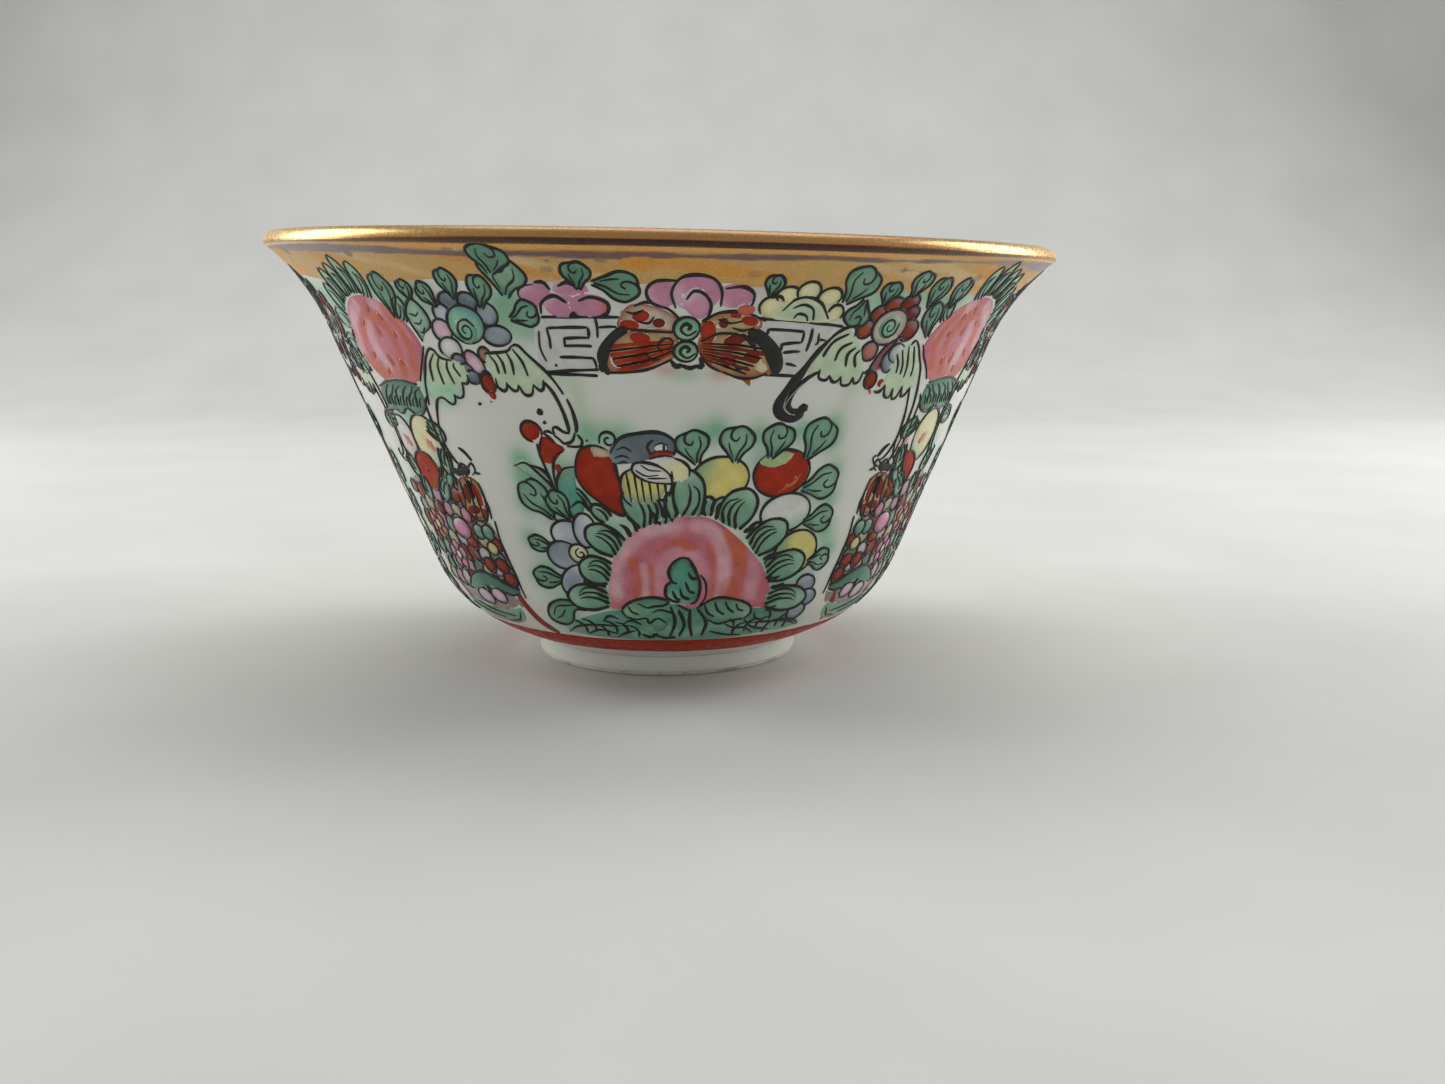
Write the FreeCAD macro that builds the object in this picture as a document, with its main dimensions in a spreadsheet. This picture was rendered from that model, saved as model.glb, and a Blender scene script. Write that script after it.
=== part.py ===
# A famille rose gaiwan bowl: a porcelain cup on a foot ring, its glazes, its gilding and its enamels.
# Millimetres. Origin on the table at the foot ring's centre, +Z up. Azimuth 0 faces -Y and grows to +X.

import FreeCAD
import Part

import math
import os

import Sketcher

# ---------------------------------------------------------------- driving dimensions

DIMENSIONS = [
    # the glazed outer line, from the foot up to the mouth
    ("foot_radius", 18.05),
    ("foot_height", 2.5),
    ("junction_radius", 17.75),
    ("belly_slope", 25.4),
    ("belly_run", 6.2),
    ("belly_radius", 17.2),
    ("wall_slope", 67.9),
    ("wall_run", 24.3),
    ("flare_radius", 77.5),
    ("lip_flare_radius", 25.2),
    ("mouth_slope", 38.0),
    # the rim leans: the top of the wall is turned about a point on the axis
    ("rim_slant", 1.23),
    ("slant_centre_height", 59.7),
    ("seam_step", 1.4),
    # thicknesses
    ("wall_thickness", 1.95),
    ("lip_swell", 0.45),
    ("lip_flat", 0.9),
    ("glaze_thickness", 0.25),
    ("enamel_thickness", 0.2),
    ("gold_thickness", 0.1),
    # inside floor and foot well
    ("floor_height", 5.2),
    ("floor_fillet", 10.0),
    ("foot_inner_radius", 15.3),
    ("well_radius", 14.9),
    ("well_height", 2.9),
    ("bare_foot_height", 0.5),
    # painted bands
    ("foot_line_start", 3.9),
    ("foot_line_end_slope", 37.0),
    ("gold_band_slope", 50.8),
]

# Points of the glazed outer line, worked out from the driving dimensions.
STATIONS = [
    ("belly_low_x", "D.junction_radius + D.belly_run * cos(D.belly_slope)"),
    ("belly_low_y", "D.foot_height + D.belly_run * sin(D.belly_slope)"),
    ("belly_x", "belly_low_x - D.belly_radius * sin(D.belly_slope)"),
    ("belly_y", "belly_low_y + D.belly_radius * cos(D.belly_slope)"),
    ("wall_low_x", "belly_x + D.belly_radius * sin(D.wall_slope)"),
    ("wall_low_y", "belly_y - D.belly_radius * cos(D.wall_slope)"),
    ("wall_top_x", "wall_low_x + D.wall_run * cos(D.wall_slope)"),
    ("wall_top_y", "wall_low_y + D.wall_run * sin(D.wall_slope)"),
    ("flare_x", "wall_top_x + D.flare_radius * sin(D.wall_slope)"),
    ("flare_y", "wall_top_y - D.flare_radius * cos(D.wall_slope)"),
    ("flare_drop", "D.slant_centre_height - flare_y"),
    ("sphere_radius", "sqrt(flare_x ^ 2 + flare_drop ^ 2) - D.flare_radius"),
    ("seam_slope", "90 - atan2(flare_drop; flare_x) / 1 deg"),
    ("upper_start_slope", "seam_slope + D.seam_step"),
    ("lower_end_slope", "seam_slope + 2 * D.seam_step"),
    ("lip_start_slope", "seam_slope + 3 * D.seam_step"),
    ("lip_reach", "sphere_radius + D.lip_flare_radius"),
    ("lip_x", "lip_reach * sin(lip_start_slope)"),
    ("lip_y", "D.slant_centre_height - lip_reach * cos(lip_start_slope)"),
    ("mouth_x", "lip_x - D.lip_flare_radius * sin(D.mouth_slope)"),
    ("mouth_y", "lip_y + D.lip_flare_radius * cos(D.mouth_slope)"),
    ("slant_shift_x", "0 - D.slant_centre_height * sin(D.rim_slant)"),
    ("slant_shift_y", "D.slant_centre_height * (1 - cos(D.rim_slant))"),
    ("floor_corner_x", "D.junction_radius - D.wall_thickness * sin(D.belly_slope)"
     " + (D.floor_height - D.foot_height - D.wall_thickness * cos(D.belly_slope)) / tan(D.belly_slope)"),
    ("floor_fillet_x", "floor_corner_x - D.floor_fillet * tan(D.belly_slope / 2)"),
    ("floor_fillet_y", "D.floor_height + D.floor_fillet"),
    ("half_wall", "D.wall_thickness / 2"),
]

# Depths below (negative) or above (positive) the glazed outer line.
OUTSIDE = "0"
BISCUIT_OUTSIDE = "-D.glaze_thickness"
BISCUIT_INSIDE = "-(D.wall_thickness - D.glaze_thickness)"
INSIDE = "-D.wall_thickness"
ENAMEL = "D.enamel_thickness"
GOLD = "D.gold_thickness"
INNER_GOLD = "-(D.wall_thickness + D.gold_thickness)"

# ---------------------------------------------------------------- document and sheets

doc = FreeCAD.newDocument("gaiwan_bowl")


def make_sheet(name, rows):
    sheet = doc.addObject("Spreadsheet::Sheet", name)
    for number, (alias, content) in enumerate(rows, start=1):
        sheet.set(f"A{number}", alias)
        sheet.set(f"B{number}", str(content))
        sheet.setAlias(f"B{number}", alias)
    doc.recompute()
    return sheet


def full_names(text):
    """Write out the short names D. and S. of the two sheets."""
    return text.replace("D.", "Dimensions.").replace("S.", "Stations.")


dimensions = make_sheet("Dimensions", DIMENSIONS)
stations = make_sheet("Stations", [(alias, "=" + full_names(formula)) for alias, formula in STATIONS])


def size(alias):
    return float(dimensions.get(alias))


def number(text):
    value = dimensions.evalExpression(full_names(text))
    return float(getattr(value, "Value", value))


# ---------------------------------------------------------------- outline points


def along_belly(distance, depth):
    """A point of the straight part of the belly, this far from the foot, at this depth."""
    x = f"D.junction_radius + ({distance}) * cos(D.belly_slope) + ({depth}) * sin(D.belly_slope)"
    y = f"D.foot_height + ({distance}) * sin(D.belly_slope) - ({depth}) * cos(D.belly_slope)"
    return x, y


def offset_point(x, y, slope, depth):
    return f"{x} + ({depth}) * sin({slope})", f"{y} - ({depth}) * cos({slope})"


def on_belly_arc(slope, depth):
    reach = f"(D.belly_radius + ({depth}))"
    return f"S.belly_x + {reach} * sin({slope})", f"S.belly_y - {reach} * cos({slope})"


def belly_low(depth):
    return offset_point("S.belly_low_x", "S.belly_low_y", "D.belly_slope", depth)


def wall_low(depth):
    return offset_point("S.wall_low_x", "S.wall_low_y", "D.wall_slope", depth)


def wall_top(depth):
    return offset_point("S.wall_top_x", "S.wall_top_y", "D.wall_slope", depth)


def on_sphere(slope, depth):
    """A point of the spherical zone, where the leaning top slides on the upright wall."""
    reach = f"(S.sphere_radius + ({depth}))"
    return f"{reach} * sin({slope})", f"D.slant_centre_height - {reach} * cos({slope})"


def on_lip_flare(slope, depth):
    reach = f"(D.lip_flare_radius - ({depth}))"
    return f"S.lip_x - {reach} * sin({slope})", f"S.lip_y + {reach} * cos({slope})"


def belly_arc(depth):
    return f"D.belly_radius + ({depth})"


def flare_arc(depth):
    return f"D.flare_radius - ({depth})"


def sphere_arc(depth):
    return f"S.sphere_radius + ({depth})"


def lip_arc(depth):
    return f"D.lip_flare_radius - ({depth})"


LINE = None


def wall_rise(depth, last, first=None):
    """The wall's line from the belly's arc, or a point of it, up to a slope in the spherical zone."""
    return [
        (first or belly_low(depth), (belly_arc(depth), "left")),
        (wall_low(depth), LINE),
        (wall_top(depth), (flare_arc(depth), "right")),
        (on_sphere("S.seam_slope", depth), (sphere_arc(depth), "left")),
        (on_sphere(last, depth), LINE),
    ]


def flare_rise(depth):
    """The leaning top's line from the spherical zone up to the mouth."""
    return [
        (on_sphere("S.upper_start_slope", depth), (sphere_arc(depth), "left")),
        (on_sphere("S.lip_start_slope", depth), (lip_arc(depth), "right")),
        (on_lip_flare("D.mouth_slope", depth), LINE),
    ]


def backwards(steps, after=LINE):
    """The same points in the other order, each arc bulging to its other side."""
    corners = [corner for corner, _ in steps][::-1]
    arcs = [arc for _, arc in steps][:-1][::-1]
    other_side = {"left": "right", "right": "left"}
    turned = [arc and (arc[0], other_side[arc[1]]) for arc in arcs]
    return list(zip(corners, turned + [after]))


# ---------------------------------------------------------------- sketches and revolved bodies


def arc_between(start, end, radius, turn):
    """An arc from start to end. It curls to the left or to the right as one goes along it."""
    chord = end - start
    across = FreeCAD.Vector(-chord.y, chord.x, 0).normalize()
    rise = math.sqrt(max(radius ** 2 - (chord.Length / 2) ** 2, 0))
    side = 1 if turn == "left" else -1
    centre = (start + end) * 0.5 + across * rise * side
    first, second = (start, end) if turn == "left" else (end, start)
    angles = [math.atan2(point.y - centre.y, point.x - centre.x) for point in (first, second)]
    return Part.ArcOfCircle(Part.Circle(centre, FreeCAD.Vector(0, 0, 1), radius), *angles)


def place_corner(sketch, geometry, end, axis, text):
    """Hold one coordinate of a corner at a value read from the sheets."""
    value = number(text)
    line = {"X": -2, "Y": -1}[axis]
    if abs(value) < 1e-7:
        sketch.addConstraint(Sketcher.Constraint("PointOnObject", geometry, end, line))
        return
    held = sketch.addConstraint(Sketcher.Constraint("Distance" + axis, -1, 1, geometry, end, value))
    sketch.setExpression(f"Constraints[{held}]", full_names(text))


def draw_outline(sketch, steps):
    """Close an outline from (corner, way to the next corner). A way is LINE or (radius, turn)."""
    corners = [FreeCAD.Vector(number(x), number(y), 0) for (x, y), _ in steps]
    starts = []
    for index, (_, way) in enumerate(steps):
        start, end = corners[index], corners[(index + 1) % len(corners)]
        if way is LINE:
            sketch.addGeometry(Part.LineSegment(start, end), False)
            starts.append((index, 1, 2))
        else:
            sketch.addGeometry(arc_between(start, end, number(way[0]), way[1]), False)
            starts.append((index, 1, 2) if way[1] == "left" else (index, 2, 1))
    for index in range(len(steps)):
        here, following = starts[index], starts[(index + 1) % len(steps)]
        sketch.addConstraint(Sketcher.Constraint("Coincident", here[0], here[2], following[0], following[1]))
    for index, ((x, y), way) in enumerate(steps):
        place_corner(sketch, index, starts[index][1], "X", x)
        place_corner(sketch, index, starts[index][1], "Y", y)
        if way is not LINE:
            held = sketch.addConstraint(Sketcher.Constraint("Radius", index, number(way[0])))
            sketch.setExpression(f"Constraints[{held}]", full_names(way[0]))


def add_turned(body, name, steps, leaning):
    """Add a full turn of an outline to a body, about the upright or about the leaning axis."""
    sketch = body.newObject("Sketcher::SketchObject", name + "_outline")
    upright = next(item for item in body.Origin.OriginFeatures if item.Role == "XZ_Plane")
    sketch.AttachmentSupport = [(upright, "")]
    sketch.MapMode = "FlatFace"
    if leaning:
        lean = FreeCAD.Rotation(FreeCAD.Vector(0, 0, 1), -size("rim_slant"))
        sketch.AttachmentOffset = FreeCAD.Placement(FreeCAD.Vector(), lean)
        sketch.setExpression("AttachmentOffset.Rotation.Angle", full_names("-D.rim_slant * 1 deg"))
        sketch.setExpression("AttachmentOffset.Base.x", full_names("S.slant_shift_x * 1 mm"))
        sketch.setExpression("AttachmentOffset.Base.y", full_names("S.slant_shift_y * 1 mm"))
    doc.recompute()
    draw_outline(sketch, steps)
    doc.recompute()
    turned = body.newObject("PartDesign::Revolution", name)
    turned.Profile = (sketch, [""])
    turned.ReferenceAxis = (sketch, ["V_Axis"])
    turned.Angle = 360
    turned.Refine = False
    doc.recompute()
    return turned


def turned_body(name, lower=None, upper=None):
    """A body turned from an upright outline, a leaning outline, or both."""
    body = doc.addObject("PartDesign::Body", name)
    body.Label = name
    if lower:
        add_turned(body, name + "_lower", lower, leaning=False)
    if upper:
        add_turned(body, name + "_upper", upper, leaning=True)
    return body


def over_lip(depth, extra):
    """The bevelled face of the lip, from its outer edge at this depth. It ends where the inside begins."""
    rise = f"(D.lip_swell + ({extra}))"
    steps = [(on_lip_flare("D.mouth_slope", depth), LINE)]
    for side in ("-", "+"):
        x, y = on_lip_flare("D.mouth_slope", f"-(S.half_wall {side} D.lip_flat / 2)")
        steps.append(((f"{x} + {rise} * cos(D.mouth_slope)", f"{y} + {rise} * sin(D.mouth_slope)"), LINE))
    return steps


def over_biscuit_lip():
    return over_lip(BISCUIT_OUTSIDE, BISCUIT_OUTSIDE)


def over_glazed_lip():
    return over_lip(OUTSIDE, OUTSIDE)


def over_gilt_lip():
    return over_lip(GOLD, GOLD)


# ---------------------------------------------------------------- porcelain, glazes and gilding


def floor_edge(extra):
    """The two ends of the inside floor's rounded edge, with its radius."""
    radius = f"(D.floor_fillet + {extra})"
    flat = ("S.floor_fillet_x", f"S.floor_fillet_y - {radius}")
    rising = (f"S.floor_fillet_x + {radius} * sin(D.belly_slope)",
              f"S.floor_fillet_y - {radius} * cos(D.belly_slope)")
    return flat, rising, radius


def biscuit_junction():
    """Where the foot meets the belly under the glaze."""
    rise = "D.glaze_thickness * (1 - sin(D.belly_slope)) / cos(D.belly_slope)"
    return "D.junction_radius - D.glaze_thickness", f"D.foot_height + {rise}"


def inside_floor(extra):
    """From the inside wall's foot along the rounded edge to the centre of the floor."""
    flat, rising, radius = floor_edge(extra)
    return [(rising, (radius, "right")), (flat, LINE), (("0", flat[1]), LINE)]


def porcelain_body():
    lower = [
        (("D.foot_radius - D.glaze_thickness", "0"), LINE),
        (biscuit_junction(), LINE),
    ]
    lower += wall_rise(BISCUIT_OUTSIDE, "S.lower_end_slope")
    lower += backwards(wall_rise(BISCUIT_INSIDE, "S.lower_end_slope"))
    lower += inside_floor("D.glaze_thickness")
    lower += [
        (("0", "D.well_height"), LINE),
        (("D.well_radius", "D.well_height"), LINE),
        (("D.foot_inner_radius", "0"), LINE),
    ]
    upper = flare_rise(BISCUIT_OUTSIDE)[:-1] + over_biscuit_lip()
    upper += backwards(flare_rise(BISCUIT_INSIDE))
    return turned_body("porcelain_body", lower, upper)


def outer_glaze():
    bare = "D.bare_foot_height"
    slide = f"(D.foot_radius - D.junction_radius) * {bare} / D.foot_height"
    lower = [
        ((f"D.foot_radius - {slide}", bare), LINE),
        (("D.junction_radius", "D.foot_height"), LINE),
    ]
    lower += wall_rise(OUTSIDE, "S.lower_end_slope")
    lower += backwards(wall_rise(BISCUIT_OUTSIDE, "S.lower_end_slope"))
    lower += [
        (biscuit_junction(), LINE),
        ((f"D.foot_radius - D.glaze_thickness - {slide}", bare), LINE),
    ]
    upper = flare_rise(OUTSIDE) + backwards(flare_rise(BISCUIT_OUTSIDE))
    return turned_body("outer_glaze", lower, upper)


def inner_glaze():
    """The white glaze inside. It runs over the lip."""
    flat, rising, radius = floor_edge("0")
    lower = backwards(wall_rise(BISCUIT_INSIDE, "S.lower_end_slope"))
    lower += inside_floor("D.glaze_thickness")
    lower += [(("0", flat[1]), LINE), (flat, (radius, "left")), (rising, LINE)]
    lower += wall_rise(INSIDE, "S.lower_end_slope")
    upper = over_biscuit_lip() + backwards(flare_rise(BISCUIT_INSIDE))
    upper += flare_rise(INSIDE)[:-1]
    upper += backwards(over_glazed_lip() + [(on_lip_flare("D.mouth_slope", INSIDE), LINE)])
    return turned_body("inner_glaze", lower, upper)


def foot_well_glaze():
    """The glaze under the bowl, on the well's ceiling and down its side."""
    skirt = "D.bare_foot_height"
    lean = f"(D.foot_inner_radius - D.well_radius) * {skirt} / D.well_height"
    ceiling = "D.well_height - D.glaze_thickness"
    lower = [
        (("0", "D.well_height"), LINE),
        (("D.well_radius", "D.well_height"), LINE),
        ((f"D.foot_inner_radius - {lean}", skirt), LINE),
        ((f"D.foot_inner_radius - D.glaze_thickness - {lean}", skirt), LINE),
        (("D.well_radius - D.glaze_thickness", ceiling), LINE),
        (("0", ceiling), LINE),
    ]
    return turned_body("foot_well_glaze", lower)


def lip_gilding():
    """Gold over the lip."""
    upper = over_glazed_lip() + [(on_lip_flare("D.mouth_slope", INSIDE), LINE)]
    gold_end = [(on_lip_flare("D.mouth_slope", INNER_GOLD), LINE)]
    upper += backwards(over_gilt_lip() + gold_end)
    return turned_body("lip_gilding", upper=upper)


def gold_band(name, near, far):
    """A washed gold band under the lip, from the near to the far depth."""
    start, end = "D.gold_band_slope", "D.mouth_slope"
    upper = [
        (on_lip_flare(start, near), (lip_arc(near), "right")),
        (on_lip_flare(end, near), LINE),
        (on_lip_flare(end, far), (lip_arc(far), "left")),
        (on_lip_flare(start, far), LINE),
    ]
    return turned_body(name, upper=upper)


def foot_line():
    """The iron red line drawn round the belly just above the foot."""
    def edge(depth):
        return [
            (along_belly("D.foot_line_start", depth), LINE),
            (belly_low(depth), (belly_arc(depth), "left")),
            (on_belly_arc("D.foot_line_end_slope", depth), LINE),
        ]
    return turned_body("foot_line", edge(OUTSIDE) + backwards(edge(ENAMEL)))


def enamel_skin():
    """An even skin over the glaze, from which the enamel patches are cut. It isn't a part."""
    def wall(depth):
        start = on_belly_arc("D.foot_line_end_slope + 0.7", depth)
        return wall_rise(depth, "S.lower_end_slope", start)

    def flare(depth):
        return flare_rise(depth)[:-1] + [(on_lip_flare("D.gold_band_slope + 0.6", depth), LINE)]

    lower = wall(OUTSIDE) + backwards(wall(ENAMEL))
    upper = flare(OUTSIDE) + backwards(flare(ENAMEL))
    return turned_body("enamel_skin", lower, upper)


# ---------------------------------------------------------------- enamel patches

# The wall has four painted panels, two wide and two narrow, with a band of flowers between.
PANEL_TURN = 1.2
BAND_WIDTH = 15.0
WIDE_PANEL = 88.0
NARROW_PANEL = 180.0 - 2 * BAND_WIDTH - WIDE_PANEL
QUARTER = 90.0
PANELS = [(PANEL_TURN + QUARTER * turn, (WIDE_PANEL, NARROW_PANEL)[turn % 2] / WIDE_PANEL) for turn in range(4)]
BAND_STEP = (WIDE_PANEL + BAND_WIDTH) / 2
BANDS = [PANEL_TURN + side * BAND_STEP + half for half in (0.0, 180.0) for side in (-1, 1)]

# Where a patch's cutting tool starts and how far it reaches outwards, from the bowl's axis.
TOOL_START = 12.0
TOOL_REACH = 50.0
FAR = 200.0

# Ellipses in a panel: azimuth from the panel's middle, height, half width, half height, lean.
PANEL_ELLIPSES = {
    "peony_base_leaves": [(2.3, 10.2, 17.0, 2.4, 0)],
    "panel_fruits": [(-15, 28.8, 2.4, 3.5, 8), (8.3, 29.3, 3.0, 3.0, 0), (18.8, 29.2, 3.3, 3.2, 0),
                     (22.5, 24.3, 2.6, 2.4, 0), (28.8, 19.6, 2.3, 2.4, 0)],
    "panel_birds": [(-5.6, 28.4, 2.6, 2.3, 0), (-4.4, 32.4, 3.4, 1.4, 0)],
    "grape_clusters": [(31.9, 14.2, 1.8, 2.4, 0), (-27.4, 19.5, 2.2, 2.3, 0), (-25.8, 14.9, 2.0, 1.9, 0)],
    "panel_sprays": [(-24.0, 29.0, 1.1, 3.4, 30), (26.9, 32.6, 1.5, 1.7, 0), (30.4, 26.9, 2.1, 1.8, 0),
                     (32.2, 22.9, 1.8, 1.5, 0), (-26.6, 24.1, 1.9, 1.7, 0), (-22.6, 33.6, 1.4, 1.4, 0)],
    "butterflies": [(-5.4, 43.0, 4.0, 2.1, 0), (9.2, 43.0, 4.0, 2.1, 0), (1.9, 44.1, 1.1, 2.9, 0),
                    (-3.6, 46.3, 2.8, 1.1, 0), (7.6, 46.3, 2.8, 1.1, 0)],
    "wing_brackets": [(-24.8, 41.2, 3.5, 2.4, -12), (-36.0, 40.5, 3.6, 2.6, 20),
                      (27.6, 41.4, 3.6, 2.4, 12), (38.8, 40.5, 3.6, 2.6, -20)],
    "bracket_drops": [(-30.4, 38.6, 0.9, 1.5, 0), (33.2, 38.8, 0.9, 1.5, 0)],
    "collar_blossoms": [(-14.2, 48.9, 3.4, 1.2, 0), (2.6, 48.9, 3.6, 1.3, 0), (17.2, 48.7, 2.9, 1.25, 0),
                        (-30.0, 47.2, 2.8, 2.3, 0), (32.4, 47.2, 2.8, 2.3, 0)],
    "collar_leaves": [(-22.6, 48.9, 1.8, 1.2, 0), (-6.2, 49.0, 1.3, 1.1, 0), (10.4, 49.0, 1.2, 1.0, 0),
                      (24.6, 48.8, 1.8, 1.3, 0), (-38.6, 47.0, 1.2, 2.4, 10), (40.6, 47.0, 1.2, 2.4, -10)],
}

# Ellipses in a flower band, measured from the band's middle.
BAND_ELLIPSES = {
    "band_peonies": [(0, 43.4, 5.3, 4.4, 0)],
    "band_leaves": [(-5.0, 49.1, 1.3, 1.3, 0), (0, 49.3, 1.4, 1.2, 0), (5.0, 49.1, 1.3, 1.3, 0),
                    (0, 37.0, 4.2, 1.4, 0), (0, 11.0, 6.0, 2.0, 0)],
    "band_fruits": [(2.4, 32.2, 2.4, 2.8, 0), (-2.8, 27.3, 2.2, 2.2, 0)],
    "band_butterflies": [(0, 20.6, 4.2, 4.0, 0)],
    "band_blossoms": [(6.8, 14.9, 1.8, 1.5, 0), (-6.8, 14.9, 1.8, 1.5, 0)],
}

# Drawn lines: azimuth from the panel's middle, width, and points (sideways, height).
BRACKET_TAILS = [
    (-17.0, 0.9, [(-1.6, 40.0), (0.6, 38.0), (1.0, 35.4), (-0.4, 33.8), (-2.0, 34.5)]),
    (20.4, 1.1, [(0.2, 40.1), (-1.8, 38.3), (-2.3, 36.4), (-0.8, 35.4), (0.8, 36.0)]),
]
FRAME_AZIMUTH = 44.4
FRAME_WIDTH = 0.6
SIDE_FRAME = [(-1.9, 37.6), (0.3, 36.2), (1.2, 33.6), (0.8, 30.8), (-1.2, 28.8)]
BORDER_AZIMUTH = 41.0
BORDER_WIDTH = 0.8
PANEL_BORDER = [(-0.6, 26.6), (-1.3, 22.0), (-1.5, 16.0), (-2.6, 11.8), (-4.2, 8.2)]

PEONY_MIDDLE = 1.8
PEONY_BASE = 13.0
PEONY_SIZE = (10.2, 11.0)
ENAMEL_GAP = 0.3
LEAF_RING_SIZE = (14.0, 12.4)
KEY_BAND = (1.8, 14.6, 40.7, 46.4)


def placed_face(outline, azimuth):
    """Turn a face drawn sideways (x) and upwards (y) to stand across an azimuth."""
    face = Part.Face(outline)
    upright = FreeCAD.Rotation(FreeCAD.Vector(1, 0, 0), 90)
    around = FreeCAD.Rotation(FreeCAD.Vector(0, 0, 1), azimuth)
    outward = around.multVec(FreeCAD.Vector(0, -1, 0))
    face.Placement = FreeCAD.Placement(outward * TOOL_START, around * upright)
    return face.extrude(outward * TOOL_REACH)


def ellipse_tool(azimuth, height, half_width, half_height, lean):
    long_side, short_side = max(half_width, half_height), min(half_width, half_height)
    if long_side == short_side:
        edge = Part.Circle(FreeCAD.Vector(), FreeCAD.Vector(0, 0, 1), long_side).toShape()
    else:
        edge = Part.Ellipse(FreeCAD.Vector(), long_side, short_side).toShape()
    upright = 0 if half_width >= half_height else 90
    edge.rotate(FreeCAD.Vector(), FreeCAD.Vector(0, 0, 1), lean + upright)
    edge.translate(FreeCAD.Vector(0, height, 0))
    return placed_face(Part.Wire([edge]), azimuth)


def dome_tool(azimuth, base, half_width, rise):
    """Half an ellipse standing on a level line."""
    whole = ellipse_tool(azimuth, base, half_width, rise, 0)
    block = Part.makeBox(2 * FAR, 2 * FAR, FAR, FreeCAD.Vector(-FAR, -FAR, base))
    return whole.common(block)


def line_tool(azimuth, width, points):
    spine = Part.makePolygon([FreeCAD.Vector(x, y, 0) for x, y in points])
    around = spine.makeOffset2D(width / 2, 0, False, False)
    return placed_face(around.Wires[0], azimuth)


def block_tool(azimuth, half_width, low, high):
    corners = [(-half_width, low), (half_width, low), (half_width, high), (-half_width, high)]
    outline = Part.makePolygon([FreeCAD.Vector(x, y, 0) for x, y in corners + corners[:1]])
    return placed_face(outline, azimuth)


def panel_ellipses(rows):
    tools = []
    for middle, narrowing in PANELS:
        for azimuth, height, half_width, half_height, lean in rows:
            tools.append(ellipse_tool(middle + azimuth * narrowing, height, half_width * narrowing,
                                      half_height, lean))
    return tools


def band_ellipses(rows):
    return [ellipse_tool(middle + azimuth, *rest) for middle in BANDS for azimuth, *rest in rows]


def centre_peony_tools():
    width, rise = PEONY_SIZE
    return [dome_tool(middle + PEONY_MIDDLE * narrowing, PEONY_BASE, width * narrowing, rise)
            for middle, narrowing in PANELS]


def leaf_ring_tools():
    width, rise = LEAF_RING_SIZE
    inner_width, inner_rise = [measure + ENAMEL_GAP for measure in PEONY_SIZE]
    tools = []
    for middle, narrowing in PANELS:
        azimuth = middle + PEONY_MIDDLE * narrowing
        outer = dome_tool(azimuth, PEONY_BASE, width * narrowing, rise)
        tools.append(outer.cut(dome_tool(azimuth, PEONY_BASE - 1, inner_width * narrowing, inner_rise + 1)))
    return tools


def key_band_tools():
    """The fret between the brackets, cut away round the butterfly."""
    azimuth, half_width, low, high = KEY_BAND
    tools = []
    for middle, narrowing in PANELS:
        fret = block_tool(middle + azimuth * narrowing, half_width * narrowing, low, high)
        for offset, height, width, rise, lean in PANEL_ELLIPSES["butterflies"]:
            hole = ellipse_tool(middle + offset * narrowing, height, width * narrowing + ENAMEL_GAP,
                                rise + ENAMEL_GAP, lean)
            fret = fret.cut(hole)
        tools.append(fret)
    return tools


def mirrored(points):
    return [(-x, y) for x, y in points]


def drawn_line_tools():
    tools = []
    for middle, narrowing in PANELS:
        for azimuth, width, points in BRACKET_TAILS:
            tools.append(line_tool(middle + azimuth * narrowing, width, points))
        for side, points in ((1, SIDE_FRAME), (-1, mirrored(SIDE_FRAME))):
            tools.append(line_tool(middle + side * FRAME_AZIMUTH * narrowing, FRAME_WIDTH, points))
    return tools


def border_tools():
    tools = []
    for middle, narrowing in PANELS:
        for side, points in ((1, PANEL_BORDER), (-1, mirrored(PANEL_BORDER))):
            tools.append(line_tool(middle + side * BORDER_AZIMUTH * narrowing, BORDER_WIDTH, points))
    return tools


def enamel_node(name, skin, tools):
    """One node of separate patches, each cut from the skin."""
    patches = []
    for tool in tools:
        for solid in skin.common(tool).Solids:
            patches.append(solid)
    node = doc.addObject("Part::Feature", name)
    node.Label = name
    node.Shape = Part.makeCompound(patches)
    return node


# ---------------------------------------------------------------- build and write


def build():
    nodes = [porcelain_body(), outer_glaze(), inner_glaze(), foot_well_glaze(), lip_gilding()]
    nodes.append(gold_band("outer_gold_band", OUTSIDE, GOLD))
    nodes.append(gold_band("inner_gold_band", INSIDE, INNER_GOLD))
    nodes.append(foot_line())
    skin = enamel_skin().Shape
    groups = {name: panel_ellipses(rows) for name, rows in PANEL_ELLIPSES.items()}
    groups.update({name: band_ellipses(rows) for name, rows in BAND_ELLIPSES.items()})
    groups["centre_peonies"] = centre_peony_tools()
    groups["peony_leaf_rings"] = leaf_ring_tools()
    groups["key_bands"] = key_band_tools()
    groups["bracket_frames"] = drawn_line_tools()
    groups["panel_borders"] = border_tools()
    nodes += [enamel_node(name, skin, tools) for name, tools in groups.items()]
    return nodes


def check_and_write(nodes):
    for item in doc.Objects:
        if {"Invalid", "Error"} & set(item.State):
            raise RuntimeError(f"{item.Label} did not compute: {item.State}")
    os.makedirs("parts", exist_ok=True)
    for node in nodes:
        shape = node.Shape
        if shape.isNull() or not shape.isValid() or not shape.Solids:
            raise RuntimeError(f"{node.Label} has no valid solid")
        shape.exportStep(f"parts/{node.Label}.step")
        box = shape.BoundBox
        print(f"{node.Label}: {len(shape.Solids)} solids, {shape.Volume:.1f} mm3, top {box.ZMax:.2f}")


finished = build()
doc.recompute()
check_and_write(finished)
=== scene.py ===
import math
import random

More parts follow.
